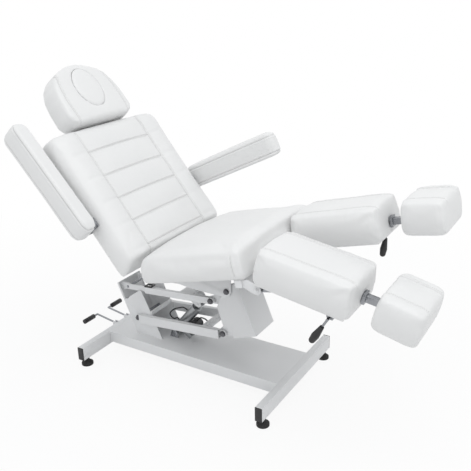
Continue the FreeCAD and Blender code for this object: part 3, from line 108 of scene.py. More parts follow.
back_way = Vector((math.sin(AZIMUTH) * math.cos(ELEVATION), -math.cos(AZIMUTH) * math.cos(ELEVATION),
                   math.sin(ELEVATION)))
level_right = (-back_way).cross(Vector((0, 0, 1))).normalized()
level_up = level_right.cross(-back_way).normalized()
right_way = level_right * math.cos(ROLL) + level_up * math.sin(ROLL)
up_way = level_up * math.cos(ROLL) - level_right * math.sin(ROLL)
camera = linked("camera", bpy.data.cameras.new("camera"))
camera.matrix_world = Matrix([*zip(right_way, up_way, back_way, CAMERA_AT), (0, 0, 0, 1)])
camera.data.sensor_width, camera.data.lens = 36.0, 50.54
camera.data.shift_x, camera.data.shift_y = -0.0136, 0.0018
camera.data.clip_end = 900.0
scene.camera = camera
print("camera, lens", camera.data.lens, "mm")

# %% [markdown]
# Light: one broad soft lamp overhead gives the tops their tone and leaves steep faces that look forward
# darker, as on the chair. A weaker lamp at the near left keeps the sides readable. The sky is plain:
# what the camera and the shiny metal see of it is white, what lights the chair is weaker.

# %% Lamps and sky
def lamp(name, at, aim, size, watts):
    """A square area lamp at a point, turned so that it looks at its aim."""
    data = bpy.data.lights.new(name, "AREA")
    data.size, data.energy = size, watts
    obj = linked(name, data)
    obj.location = at
    obj.rotation_euler = (Vector(aim) - Vector(at)).to_track_quat("-Z", "Y").to_euler()


def math_node(nodes, links, operation, first, second):
    """One Math node; each side is a socket or a plain number."""
    node = nodes.new("ShaderNodeMath")
    node.operation = operation
    for at, value in enumerate((first, second)):
        if isinstance(value, (int, float)):
            node.inputs[at].default_value = value
        else:
            links.new(value, node.inputs[at])
    return node.outputs[0]


def seen_directly(nodes, links):
    """1 where a ray comes from the camera, a mirror-like surface or through glass, else 0."""
    path = nodes.new("ShaderNodeLightPath").outputs
    opaque = math_node(nodes, links, "MAXIMUM", path["Is Camera Ray"], path["Is Glossy Ray"])
    return math_node(nodes, links, "MAXIMUM", opaque, path["Is Transmission Ray"])


def mixed(nodes, links, share, first, second, output):
    """Mixes two shaders, a share of 0 giving all of the first, and sends the result to an output socket."""
    mix = nodes.new("ShaderNodeMixShader")
    for at, socket in enumerate((share, first.outputs[0], second.outputs[0])):
        links.new(socket, mix.inputs[at])
    links.new(mix.outputs[0], output)


lamp("key_lamp", at=(1.4, -0.9, 4.2), aim=(0.1, 0.0, 0.5), size=3.2, watts=49)
lamp("side_lamp", at=(-1.2, -3.8, 1.9), aim=(0.1, 0.0, 0.6), size=2.2, watts=6)
world = bpy.data.worlds.new("studio")
scene.world = world
world.use_nodes = True
sky, sky_links = world.node_tree.nodes, world.node_tree.links
sky.clear()
lighting, showing = sky.new("ShaderNodeBackground"), sky.new("ShaderNodeBackground")
lighting.inputs["Color"].default_value = (0.97, 0.985, 1.0, 1)
lighting.inputs["Strength"].default_value = 0.84
showing.inputs["Color"].default_value = (1, 1, 1, 1)
showing.inputs["Strength"].default_value = 1.0
mixed(sky, sky_links, seen_directly(sky, sky_links), lighting, showing,
      sky.new("ShaderNodeOutputWorld").inputs[0])
print("two lamps and a plain sky")

# %% [markdown]
# ## Finishes
# Several finishes share the same small effects: a pebbled grain, a slow drift of tone and fine scuffs. Each
# is a node group made once. It gives out a height, a colour or a value, and every material sets its inputs.

# %% Shared effects
FLOAT, VECTOR, COLOR = "NodeSocketFloat", "NodeSocketVector", "NodeSocketColor"
MIX_A, MIX_B, MIX_RESULT = 6, 7, 2  # a Mix node's sockets for colours


def group(name, inputs, output):
    """An empty node group with a Vector, the given inputs and one output: its tree and its two end nodes."""
    tree = bpy.data.node_groups.new(name, "ShaderNodeTree")
    tree.interface.new_socket("Vector", in_out="INPUT", socket_type=VECTOR)
    for label, kind, value in inputs:
        tree.interface.new_socket(label, in_out="INPUT", socket_type=kind).default_value = value
    tree.interface.new_socket(output[0], in_out="OUTPUT", socket_type=output[1])
    return tree, tree.nodes.new("NodeGroupInput"), tree.nodes.new("NodeGroupOutput")


def fed(tree, given, kind, **values):
    """A texture node inside a group, fed by its Vector and Scale, with values on the other sockets."""
    node = tree.nodes.new(kind)
    for label in ("Vector", "Scale"):
        tree.links.new(given.outputs[label], node.inputs[label])
    for label, value in values.items():
        node.inputs[label].default_value = value
    return node


pebble, given, out = group("pebble_grain", [("Scale", FLOAT, 500.0)], ("Height", FLOAT))
cells = fed(pebble, given, "ShaderNodeTexVoronoi")
cells.feature = "SMOOTH_F1"
cells.inputs["Smoothness"].default_value = 0.6
fine = fed(pebble, given, "ShaderNodeTexNoise", Detail=4.0)
total = math_node(pebble.nodes, pebble.links, "ADD", cells.outputs["Distance"], fine.outputs["Fac"])
pebble.links.new(total, out.inputs["Height"])

drift, given, out = group("tone_drift", [("Scale", FLOAT, 6.0), ("Light", COLOR, (1, 1, 1, 1)),
                                         ("Dark", COLOR, (0.9, 0.9, 0.9, 1))], ("Color", COLOR))
cloud, blend = fed(drift, given, "ShaderNodeTexNoise", Detail=5.0), drift.nodes.new("ShaderNodeMix")
blend.data_type = "RGBA"
drift.links.new(cloud.outputs["Fac"], blend.inputs["Factor"])
drift.links.new(given.outputs["Light"], blend.inputs[MIX_A])
drift.links.new(given.outputs["Dark"], blend.inputs[MIX_B])
drift.links.new(blend.outputs[MIX_RESULT], out.inputs["Color"])

scuff, given, out = group("fine_scuffs", [("Scale", FLOAT, 30.0), ("Low", FLOAT, 0.3), ("High", FLOAT, 0.5)],
                          ("Roughness", FLOAT))
hair = fed(scuff, given, "ShaderNodeTexNoise", Detail=8.0, Roughness=0.7)
spread = scuff.nodes.new("ShaderNodeMapRange")
spread.inputs["From Min"].default_value, spread.inputs["From Max"].default_value = 0.3, 0.7
scuff.links.new(hair.outputs["Fac"], spread.inputs["Value"])
scuff.links.new(given.outputs["Low"], spread.inputs["To Min"])
scuff.links.new(given.outputs["High"], spread.inputs["To Max"])
scuff.links.new(spread.outputs["Result"], out.inputs["Roughness"])
print("three shared effects")

# %% [markdown]
# One function lays the effects over a Principled shader. What is the same all over, such as metalness or
# coat, is set on the shader's own socket; only what changes over the surface comes from the groups.

# %% A finish from its numbers
# The colour that seam grooves are darkened towards: painted shade in the groove, with some dirt.
GROOVE_SHADE_AND_DIRT = (0.42, 0.42, 0.41, 1)
COAT_ROUGHNESS, BUMP_STRENGTH = 0.25, 0.6


def finish(name, light, dark, rough, grain, depth, drift_scale, metal=0.0, coat=0.0, stretch=(1, 1, 1),
           seams=0.0, waves=0.0):
    """Tone between light and dark by slow noise, roughness between two values, grain as a bump of that depth.

    seams darkens the piece by that share where its seam attribute is 1, as painted shade in the seam grooves
    with some dirt; waves adds a slow swell that high.
    """
    mat = bpy.data.materials.new(name)
    mat.use_nodes = True
    nodes, links = mat.node_tree.nodes, mat.node_tree.links
    shader = nodes["Principled BSDF"]
    shader.inputs["Metallic"].default_value = metal
    shader.inputs["Coat Weight"].default_value = coat
    shader.inputs["Coat Roughness"].default_value = COAT_ROUGHNESS
    place, turn = nodes.new("ShaderNodeTexCoord"), nodes.new("ShaderNodeMapping")
    turn.inputs["Scale"].default_value = stretch
    links.new(place.outputs["Object"], turn.inputs["Vector"])

    def effect(tree, **values):
        node = nodes.new("ShaderNodeGroup")
        node.node_tree = tree
        links.new(turn.outputs["Vector"], node.inputs["Vector"])
        for label, value in values.items():
            node.inputs[label].default_value = value
        return node.outputs[0]

    tone = effect(drift, Scale=drift_scale, Light=(*light, 1), Dark=(*dark, 1))
    height = effect(pebble, Scale=grain)
    links.new(effect(scuff, Scale=grain / 16, Low=rough[0], High=rough[1]), shader.inputs["Roughness"])
    bump = nodes.new("ShaderNodeBump")
    bump.inputs["Distance"].default_value = depth
    bump.inputs["Strength"].default_value = BUMP_STRENGTH
    if waves:
        swell = nodes.new("ShaderNodeTexNoise")
        for label, value in (("Scale", 22.0), ("Detail", 3.0), ("Distortion", 0.6)):
            swell.inputs[label].default_value = value
        links.new(turn.outputs["Vector"], swell.inputs["Vector"])
        raised = math_node(nodes, links, "MULTIPLY", swell.outputs["Fac"], waves / depth)
        height = math_node(nodes, links, "ADD", height, raised)
    # Painted shade with some dirt: the cover is darkened where the seam attribute marks a groove.
    if seams:
        groove_mark, shade = nodes.new("ShaderNodeAttribute"), nodes.new("ShaderNodeMix")
        groove_mark.attribute_name = "seam"
        shade.data_type = "RGBA"
        links.new(math_node(nodes, links, "MULTIPLY", groove_mark.outputs["Fac"], seams), shade.inputs["Factor"])
        links.new(tone, shade.inputs[MIX_A])
        shade.inputs[MIX_B].default_value = GROOVE_SHADE_AND_DIRT
        tone = shade.outputs[MIX_RESULT]
    links.new(tone, shader.inputs["Base Color"])
    links.new(height, bump.inputs["Height"])
    links.new(bump.outputs["Normal"], shader.inputs["Normal"])
    return mat


# On the cover, seams=0.45 paints shade, with some dirt, into the seam grooves.
COVER = finish("leatherette", (0.80, 0.80, 0.795), (0.755, 0.757, 0.755), rough=(0.36, 0.50),
               grain=620, depth=0.00016, drift_scale=5.0, coat=0.08, seams=0.45, waves=0.0005)
THREAD = finish("white_thread", (0.72, 0.72, 0.71), (0.58, 0.58, 0.57), rough=(0.55, 0.75),
                grain=2500, depth=0.0001, drift_scale=90.0)
PAINT = finish("white_paint", (0.78, 0.785, 0.79), (0.74, 0.745, 0.75), rough=(0.28, 0.42),
               grain=900, depth=0.00004, drift_scale=4.0, coat=0.15)
ZINC = finish("zinc_plate", (0.40, 0.41, 0.43), (0.26, 0.27, 0.29), rough=(0.20, 0.40),
              grain=700, depth=0.00003, drift_scale=22.0, metal=1.0)
STEEL = finish("brushed_tube", (0.36, 0.37, 0.38), (0.26, 0.27, 0.28), rough=(0.25, 0.45),
               grain=900, depth=0.00004, drift_scale=30.0, metal=1.0, stretch=(1, 8, 1))
BLACK = finish("black_plastic", (0.022, 0.022, 0.024), (0.012, 0.012, 0.013), rough=(0.35, 0.55),
               grain=1100, depth=0.00006, drift_scale=18.0)
RUBBER = finish("black_rubber", (0.020, 0.020, 0.020), (0.010, 0.010, 0.010), rough=(0.62, 0.85),
                grain=1400, depth=0.00010, drift_scale=25.0)
MOTOR = finish("motor_housing", (0.036, 0.037, 0.040), (0.020, 0.020, 0.022), rough=(0.25, 0.45),
               grain=800, depth=0.00008, drift_scale=12.0, coat=0.2)
LINING = finish("black_lining", (0.030, 0.030, 0.031), (0.016, 0.016, 0.017), rough=(0.75, 0.95),
                grain=1800, depth=0.00020, drift_scale=14.0)
FINISH_OF = {"frame": PAINT, "zinc": ZINC, "cover": COVER, "board": LINING, "black": BLACK, "rubber": RUBBER,
             "motor": MOTOR, "steel": STEEL}
SLOT_OF = {row["node"]: row["material_slot"] for row in frame["record"]["subparts"]}
print(len(FINISH_OF), "finishes")

# %% [markdown]
# ## The rigid pieces
# The CAD shapes are right but their edges are knife sharp, and real sheet and tube catch the light on a small
# round. We can't touch a frame mesh, so a copy is welded, given a fine bevel, and stands for the node.

# %% Bevelled copies of tubes, sheets and levers
BOARD_PLACE = {"seat_board": SEAT, "back_board": BACK, "headrest_board": BACK,
               "leg_board_right": KNEE["right"], "leg_board_left": KNEE["left"]}
BODY_OF = {n: b for b, members in frame["record"]["behaviour"]["bodies"].items() for n in members}
TURNED_AWAY = -0.9


def rows_of(items, label, width, kind=np.float32):
    """One attribute of many mesh items as an array, one row for each item."""
    flat = np.empty(len(items) * width, kind)
    items.foreach_get(label, flat)
    return flat.reshape(-1, width)


def smoothed(mesh):
    """Shades every face of a mesh smooth."""
    mesh.polygons.foreach_set("use_smooth", np.ones(len(mesh.polygons), bool))


def welded(node):
    """A copy of a node's mesh with its loose triangles merged and its flat faces joined."""
    shape = bmesh.new()
    shape.from_mesh(frame["nodes"][node].data)
    bmesh.ops.remove_doubles(shape, verts=shape.verts, dist=1e-6)
    bmesh.ops.dissolve_limit(shape, angle_limit=math.radians(0.6), verts=shape.verts, edges=shape.edges)
    mesh = bpy.data.meshes.new(node + "_finished")
    shape.to_mesh(mesh)
    shape.free()
    return mesh


def rounded(obj, width, degrees):
    """A live bevel of two segments on every edge that is sharper than the given angle."""
    edge = obj.modifiers.new("edge", "BEVEL")
    edge.width, edge.segments, edge.limit_method = width, 2, "ANGLE"
    edge.angle_limit = math.radians(degrees)
    return edge


def stands_for(obj, body, slot, *nodes):
    """The piece rides on a body and stands for the named nodes; slot is not used."""
    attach(obj, body)
    if nodes:
        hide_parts(*nodes)
    return obj


def wrap_board(piece, place):
    """The cover is drawn round a board's edge; only the face turned away from the pad shows black lining."""
    piece.data.materials.clear()
    for mat in (COVER, LINING):
        piece.data.materials.append(mat)
    facing = rows_of(piece.data.polygons, "normal", 3) @ place[1][2]
    piece.data.polygons.foreach_set("material_index", (facing < TURNED_AWAY).astype(np.int32))


rigid = [n for n, slot in SLOT_OF.items() if slot != "cover"]
for node in rigid:
    piece = linked(node + "_finished", welded(node))
    piece.data.materials.clear()
    piece.data.materials.append(FINISH_OF[SLOT_OF[node]])
    smoothed(piece.data)
    edge = rounded(piece, 0.0007, 32)
    edge.harden_normals = edge.use_clamp_overlap = True
    if node in BOARD_PLACE:
        wrap_board(piece, BOARD_PLACE[node])
    stands_for(piece, BODY_OF[node], SLOT_OF[node], node)
print(len(rigid), "rigid pieces")

# %% [markdown]
# ## The pads
# A pad is foam under a tight cover. The frame's soft solid has the right size and place, so we start from it:
# remesh it into even small faces, hold the seams and the underside, and let cloth with a little pressure
# swell between them. A cap keeps the swelling small. Seams come last: remeshing would wash them out.

# %% From a soft solid to a swollen pad
CLOTH_FRAMES, PRESSURE, LEAST_GRIP = 20, 4.0, 0.02


def points_of(mesh):
    """All points of a mesh as one array."""
    return rows_of(mesh.vertices, "co", 3).astype(float)


def normals_of(mesh):
    """All point normals of a mesh as one array."""
    return rows_of(mesh.vertices, "normal", 3).astype(float)


def put_points(mesh, points):
    """Writes an array of points back into a mesh."""
    mesh.vertices.foreach_set("co", points.astype(np.float32).ravel())
    mesh.update()


def evaluated(obj):
    """A new mesh: the object's own with its modifiers applied."""
    return bpy.data.meshes.new_from_object(obj.evaluated_get(bpy.context.evaluated_depsgraph_get()))


def with_modifier(mesh, kind, **settings):
    """The mesh after one modifier, as a new mesh."""
    obj = linked("workpiece", mesh)
    step = obj.modifiers.new("step", kind)
    for label, value in settings.items():
        setattr(step, label, value)
    made = evaluated(obj)
    bpy.data.objects.remove(obj)
    return made


def eased(mesh, points, rounds, share=0.5):
    """Laplacian smoothing: each point moves a share of the way to its neighbours' mean, some rounds over."""
    ends = rows_of(mesh.edges, "vertices", 2, np.int32)
    count = np.bincount(ends.ravel(), minlength=len(points))[:, None]
    for _ in range(rounds):
        near = np.zeros_like(points)
        np.add.at(near, ends[:, 0], points[ends[:, 1]])
        np.add.at(near, ends[:, 1], points[ends[:, 0]])
        points = points + share * (near / count - points)
    return points


def swollen(mesh, held, cap, spare):
    """Cloth under inner pressure; held points stay, and each move is bent to under cap by tanh.

    spare is the share by which the cover is cut larger than the foam.
    """
    obj = linked("workpiece", mesh)
    grip = obj.vertex_groups.new(name="held")
    for number in np.flatnonzero(held > LEAST_GRIP):
        grip.add([int(number)], float(held[number]), "REPLACE")
    cloth = obj.modifiers.new("cover", "CLOTH")
    cloth.settings.quality = 4
    cloth.settings.mass = 0.25
    cloth.settings.tension_stiffness = cloth.settings.compression_stiffness = 18
    cloth.settings.bending_stiffness = 0.6
    cloth.settings.shrink_min = -spare
    cloth.settings.use_pressure = True
    cloth.settings.uniform_pressure_force = PRESSURE
    cloth.settings.vertex_group_mass = "held"
    cloth.settings.pin_stiffness = 1.0
    cloth.settings.effector_weights.gravity = 0.0
    cloth.collision_settings.use_self_collision = False
    cloth.point_cache.frame_start, cloth.point_cache.frame_end = 1, CLOTH_FRAMES
    before = points_of(mesh)
    for number in range(1, CLOTH_FRAMES + 1):
        scene.frame_set(number)
    after = points_of(evaluated(obj))
    bpy.data.objects.remove(obj)
    scene.frame_set(1)
    move = after - before
    length = np.linalg.norm(move, axis=1, keepdims=True) + 1e-9
    put_points(mesh, before + move / length * cap * np.tanh(length / cap))


print("the steps of a pad: remesh, hold, swell, ease, divide, sew")

# %% [markdown]
# A seam pulls the cover down into a narrow groove and leaves a low lip on both sides, and the cover gathers
# into small folds that die away from it. All of that depends on one thing: how far a point is from the seam.
# So a seam is a function that gives three arrays: the distance, the place along the seam, and where it holds.

# %% Seams as distances
ON_TOP, ON_TOP_HEAD, NOT_FLAT, ON_SIDE = 0.15, 0.1, 0.93, 0.75  # limits on a part of the cover's normal


def window(value, low, high, soft):
    """1 between low and high, falling evenly to 0 over a distance soft outside."""
    return np.clip((value - low) / soft + 1, 0, 1) * np.clip((high - value) / soft + 1, 0, 1)


def lengthwise(y, low, high):
    """A seam on top, along the part, between low and high: the distance is |across - y|."""
    def seam(p, n):
        return np.abs(p[:, 1] - y), p[:, 0], window(p[:, 0], low, high, 0.012) * (n[:, 2] > ON_TOP)
    return seam


def crosswise(a, half):
    """A seam on top, across the part, as wide as two halves: the distance is |along - a|."""
    def seam(p, n):
        return np.abs(p[:, 0] - a), p[:, 1], window(p[:, 1], -half, half, 0.006) * (n[:, 2] > ON_TOP)
    return seam


def round_rim(level):
    """A seam round the side at one height: the distance is |up - level|, where the cover stands upright."""
    def seam(p, n):
        return np.abs(p[:, 2] - level), p[:, 0] + p[:, 1], 1.0 * (np.abs(n[:, 2]) < NOT_FLAT)
    return seam


def upright(a, side, low, high):
    """A seam up a side face: the distance is |along - a|, where the cover faces that side."""
    def seam(p, n):
        facing = n[:, 1] * side > ON_SIDE
        return np.abs(p[:, 0] - a), p[:, 2], window(p[:, 2], low, high, 0.010) * facing
    return seam


print("seams know their distance")

# %% [markdown]
# Real leatherette is never quite even. Along a seam it gathers in folds of mixed lengths, and between seams
# it lies in slow hollows. Sums of sine waves with seeded phases give both, the same ones in each run.

# %% Grooves, gathers and slack
GROOVE_WIDE, LIP_HIGH, LONGEST_FOLD = 0.0026, 0.0009, 0.055
FOLDS_FADE, FOLDS_START, FIRST_FOLD_SEED = 0.024, 0.006, 11
SLACK_WAVES, SHORTEST_WAVE, LONGEST_WAVE = 6, 0.09, 0.26


def folds(s, seed):
    """A mean of four sines along a seam, from a third of the longest fold up, phases from the seed."""
    chance = np.random.default_rng(seed)
    waves = LONGEST_FOLD * np.array([0.33, 0.47, 0.71, 1.0])
    phase = chance.uniform(0, 2 * math.pi, 4)
    return np.sin(2 * math.pi * s[:, None] / waves + phase).mean(axis=1)


def sewn(local, normal, seams, depth, gather):
    """How far each point moves along its normal, and how much it belongs to a seam.

    The groove is a bell of that depth in the distance d, the lip a lower bell 2.6 groove widths away, and the
    folds fade as exp(-d) from the seam but start at 0 on it.
    """
    move, mark = np.zeros(len(local)), np.zeros(len(local))
    for number, seam in enumerate(seams):
        d, s, mask = seam(local, normal)
        move -= mask * depth * np.exp(-((d / GROOVE_WIDE) ** 2))
        move += mask * LIP_HIGH * np.exp(-(((d - 2.6 * GROOVE_WIDE) / (1.4 * GROOVE_WIDE)) ** 2))
        move += (mask * gather * folds(s, FIRST_FOLD_SEED + number)
                 * np.exp(-d / FOLDS_FADE) * (1 - np.exp(-((d / FOLDS_START) ** 2))))
        # The mark is the groove's middle; the cover finish darkens it there as painted shade with some dirt.
        mark = np.maximum(mark, mask * np.exp(-((d / (0.55 * GROOVE_WIDE)) ** 2)))
    return move, mark


def slack(local, seed, amount):
    """Slow unevenness of a hand-stretched cover: a mean of six plane waves of 9 to 26 cm in mixed ways."""
    chance = np.random.default_rng(seed)
    total = np.zeros(len(local))
    for _ in range(SLACK_WAVES):
        way = chance.normal(size=3)
        way /= np.linalg.norm(way)
        length = chance.uniform(SHORTEST_WAVE, LONGEST_WAVE)
        total += np.sin(2 * math.pi * (local @ way) / length + chance.uniform(0, 6.28))
    return amount * total / SLACK_WAVES


print("a groove is", 2000 * GROOVE_WIDE, "mm wide, the longest fold", 1000 * LONGEST_FOLD, "mm")

# %% [markdown]
# The cover is drawn down over the board's edge and stapled below, so foam and board look like one thick pad.
# A pad's lower rim is therefore stretched down past the board before it swells. An armrest's ends are domed.

# %% Shapes given before the swelling
STAPLED_ABOVE = 0.0015


def over_board(board, place, zone=0.035):
    """Lowers points near the underside by the board's thickness times a smooth step of their nearness."""
    under = to_local(place, points_of(frame["nodes"][board].data))[:, 2].min() + STAPLED_ABOVE

    def shape(p):
        near = np.clip(1 - (p[:, 2] - p[:, 2].min()) / zone, 0, 1)
        p[:, 2] -= (p[:, 2].min() - under) * near * near * (3 - 2 * near)
        return p
    return shape


def domed_ends(low, high, radius, keep):
    """Narrows a bar to both ends like a quarter circle: half widths * (keep + (1 - keep) * sqrt(1 - t^2))."""
    def shape(p):
        t = np.clip(np.maximum(low + radius - p[:, 0], p[:, 0] - high + radius) / radius, 0, 1)
        share = keep + (1 - keep) * np.sqrt(1 - t * t)
        middle = (p.max(axis=0) + p.min(axis=0)) / 2
        p[:, 1:] = middle[1:] + (p[:, 1:] - middle[1:]) * share[:, None]
        return p
    return shape


def filled_edges(normal, amount):
    """Pushes rounded edges out, flat faces not: amount * (1 - largest part of normal) / (1 - 1/sqrt 2)."""
    return amount * np.clip((1 - np.abs(normal).max(axis=1)) / (1 - math.sqrt(0.5)), 0, 1)


def touching(sign, level, soft):
    """Holds the end where two pads meet: rises from 0 to 1 over soft before the level, on sign's side."""
    return lambda p: np.clip(1 + (sign * (p[:, 0] - level)) / soft, 0, 1)


def kept_within(a, low, high, soft=0.004):
    """Bends a coordinate back before a limit, so pads keep their gap: edge + soft * tanh(past / soft)."""
    top, bottom = high - soft, low + soft
    a = np.where(a > top, top + soft * np.tanh((a - top) / soft), a)
    return np.where(a < bottom, bottom - soft * np.tanh((bottom - a) / soft), a)


print("shapes: over a board, domed, filled, touching, kept within")

# %% [markdown]
# One function makes every pad. Each pad has its own face size, cap and fullness, because a broad seat swells
# more than a slim armrest. The result stays in local numbers, so a right pad can also be used as a left one.

# %% Make one pad
HELD_RIM, SEAM_GRIP, SEAM_HALF = 0.016, 0.96, 0.006
QUICK_SWELL, SLACK_FROM = 0.55, 0.03


def make_pad(node, place, seams, voxel, cap, full, seed, slackness, shape=None, depth=0.0030, gather=0.0010,
             spare=0.0, held_too=None, crown=0.0, reach=(-9.0, 9.0)):
    """Weld, remesh, shape, fill, swell between held seams, ease, divide, sew. Gives mesh, points and seams.

    voxel: size of the faces. cap: the most that the cloth swells. full: how far rounded edges are pushed out.
    crown: lift of the top. spare: extra cover. slackness, depth, gather: hollows, grooves and folds. reach:
    the two limits along the part. held_too: what else holds the cloth, besides the rim below and the seams.
    """
    mesh = with_modifier(welded(node), "REMESH", mode="VOXEL", voxel_size=voxel)
    points, normals = points_of(mesh), normals_of(mesh)
    points = eased(mesh, points, rounds=2)
    local = to_local(place, points)
    if shape:
        local = shape(local)
        points = to_world(place, local)
    ln = normals @ place[1].T
    held = np.clip(1.3 - (local[:, 2] - local[:, 2].min()) / HELD_RIM, 0, 1)
    if held_too:
        held = np.maximum(held, held_too(local))
    ease = 1 - held
    points = points + normals * (filled_edges(ln, full) * ease)[:, None]
    points = points + place[1][2] * (crown * np.clip(ln[:, 2], 0, 1) * ease)[:, None]
    for seam in seams:
        d, _, mask = seam(local, ln)
        held = np.maximum(held, SEAM_GRIP * mask * np.exp(-((d / SEAM_HALF) ** 2)))
    put_points(mesh, points)
    swollen(mesh, held, cap, spare)
    put_points(mesh, eased(mesh, points_of(mesh), rounds=4))
    fine_mesh = with_modifier(mesh, "SUBSURF", levels=1, render_levels=1)
    points, normals = points_of(fine_mesh), normals_of(fine_mesh)
    local, ln = to_local(place, points), normals @ place[1].T
    move, mark = sewn(local, ln, seams, depth, gather)
    upper = np.clip((local[:, 2] - local[:, 2].min()) / SLACK_FROM, 0, 1)
    move += slack(local, seed, slackness) * upper
    local = local + ln * move[:, None]
    local[:, 0] = kept_within(local[:, 0], *reach)
    print(node, len(local), "points, in mm", np.round(local.min(0) * 1000), np.round(local.max(0) * 1000))
    return fine_mesh, local, mark


def pad_object(name, made, place, body, node, mirror=False):
    """Puts a made pad at a place. A mirrored one has across negated and its faces turned back outwards."""
    mesh, local, mark = made
    mesh, local = mesh.copy(), local.copy()
    if mirror:
        local[:, 1] *= -1
        mesh.flip_normals()
    put_points(mesh, to_world(place, local))
    # The seam mark goes to the cover finish, which darkens the grooves with painted shade and some dirt.
    seam_mark = mesh.attributes.new("seam", "FLOAT", "POINT")
    seam_mark.data.foreach_set("value", mark.astype(np.float32))
    mesh.materials.clear()
    mesh.materials.append(COVER)
    smoothed(mesh)
    obj = linked(name, mesh)
    mesh.name = name
    stands_for(obj, body, "cover", node)
    return obj


print("in quick mode a pad swells by", QUICK_SWELL, "of its cap, without cloth")

# %% [markdown]
# The seat is one broad smooth panel, drawn over its edges. Near the two front corners a short upright seam
# closes the cover.

# %% Seat pad
seat_seams = [upright(-0.040, side, low=-0.095, high=-0.020) for side in SIDES.values()]
seat_made = make_pad("seat_cushion", SEAT, seat_seams, voxel=0.0068, cap=0.007, full=0.006, seed=3,
                     slackness=0.0016, shape=over_board("seat_board", SEAT), gather=0.0012, spare=0.006,
                     held_too=touching(-1, -0.476, 0.08), crown=0.005, reach=(-0.480, 0.0005))
pad_object("seat_pad", seat_made, SEAT, "seat", "seat_cushion")

# %% [markdown]
# The back has three long panels: two smooth ones at the sides and a middle one sewn across into soft blocks.
# The blocks swell between their seams, so they catch the light along their upper halves.

# %% Back pad
BACK_ENDS, BACK_PANEL = (-0.545, 0.045), 0.192
BACK_CROSS, CROSS_HALF, CROSS_STITCHES = [-0.442, -0.329, -0.222, -0.115, 0.0], 0.190, 0.186
back_seams = [lengthwise(sign * BACK_PANEL, *BACK_ENDS) for sign in SIDES.values()]
back_seams += [crosswise(a, CROSS_HALF) for a in BACK_CROSS]
back_made = make_pad("back_cushion", BACK, back_seams, voxel=0.0065, cap=0.007, full=0.006, seed=8,
                     slackness=0.0010, shape=over_board("back_board", BACK),
                     held_too=touching(1, 0.056, 0.08), reach=(-9.0, 0.060))
back_pad = pad_object("back_pad", back_made, BACK, "back", "back_cushion")

# %% [markdown]
# The headrest is a soft D with full cheeks. A curved seam parts each cheek from the middle, and the oval
# insert sits in its own thin groove, ready to be pulled out for someone lying face down.

# %% Headrest pad
CROWN_END, CHEEK_LONG, CHEEK_ENDS = -0.833, 0.266, (-0.80, -0.572)
INSERT_MIDDLE, INSERT_LONG, INSERT_WIDE = -0.712, 0.092, 0.071


def cheek_half(t):
    """Half width of the middle panel, t from 0 at the crown to 1 below: wider downwards, bowed by a sine."""
    return 0.147 - 0.035 * (1 - t) ** 2 + 0.012 * np.sin(math.pi * t)


def cheek(side):
    """A curved seam on top: the distance is |across - side * half width of the middle panel|."""
    def seam(p, n):
        line = side * cheek_half((p[:, 0] - CROWN_END) / CHEEK_LONG)
        on_top = n[:, 2] > ON_TOP_HEAD
        return np.abs(p[:, 1] - line), p[:, 0], window(p[:, 0], *CHEEK_ENDS, 0.01) * on_top
    return seam


def beside_insert(p):
    """Where the cover is held round the oval hole: inside it and up to 12 % past its edge."""
    share = np.hypot((p[:, 0] - INSERT_MIDDLE) / INSERT_LONG, p[:, 1] / INSERT_WIDE)
    return share - 1.0 < 0.12


head_made = make_pad("headrest_cushion", BACK, [cheek(side) for side in SIDES.values()], voxel=0.0045,
                     cap=0.006, full=0.005, seed=5, slackness=0.0008, held_too=beside_insert)
head_pad = pad_object("headrest_pad", head_made, BACK, "headrest", "headrest_cushion")

# %% [markdown]
# The insert is a small upholstered plug with a bead round its edge. Its outline is an ellipse all the way up,
# so a profile of shares and heights is enough: each row of the profile is the same ellipse, shrunk.

# %% Oval face insert
PLUG_LONG, PLUG_WIDE, AROUND_PLUG = 0.0945, 0.0735, 96


def oval_plug(rows):
    """Ellipse rings up a profile: centre + share * (half long * cos t, half wide * sin t), at height b."""
    share, b = np.array(rows).T
    t = np.linspace(0, 2 * math.pi, AROUND_PLUG, endpoint=False)
    local = np.empty((len(share), AROUND_PLUG, 3))
    local[:, :, 0] = INSERT_MIDDLE + share[:, None] * (PLUG_LONG * np.cos(t))
    local[:, :, 1] = share[:, None] * (PLUG_WIDE * np.sin(t))
    local[:, :, 2] = b[:, None]
    return local


def outward_mesh(name, points, faces):
    """A mesh of the points and faces, with every face turned outwards."""
    mesh = bpy.data.meshes.new(name)
    mesh.from_pydata(points.tolist(), [], faces)
    shape = bmesh.new()
    shape.from_mesh(mesh)
    bmesh.ops.recalc_face_normals(shape, faces=shape.faces)
    shape.to_mesh(mesh)
    shape.free()
    return mesh


def closed_rows(name, grid):
    """A smooth mesh of stacked rings: quads between neighbours and one pole point at each end."""
    rows, around = grid.shape[:2]
    poles = np.stack([grid[0].mean(axis=0), grid[-1].mean(axis=0)])
    number = np.arange(rows * around).reshape(rows, around)
    after = np.roll(number, -1, axis=1)
    faces = np.stack([number[:-1], after[:-1], after[1:], number[1:]], axis=-1).reshape(-1, 4).tolist()
    faces += np.stack([after[0], number[0], np.full(around, rows * around)], axis=-1).tolist()
    faces += np.stack([number[-1], after[-1], np.full(around, rows * around + 1)], axis=-1).tolist()
    mesh = outward_mesh(name, np.vstack([grid.reshape(-1, 3), poles]), faces)
    smoothed(mesh)
    return mesh


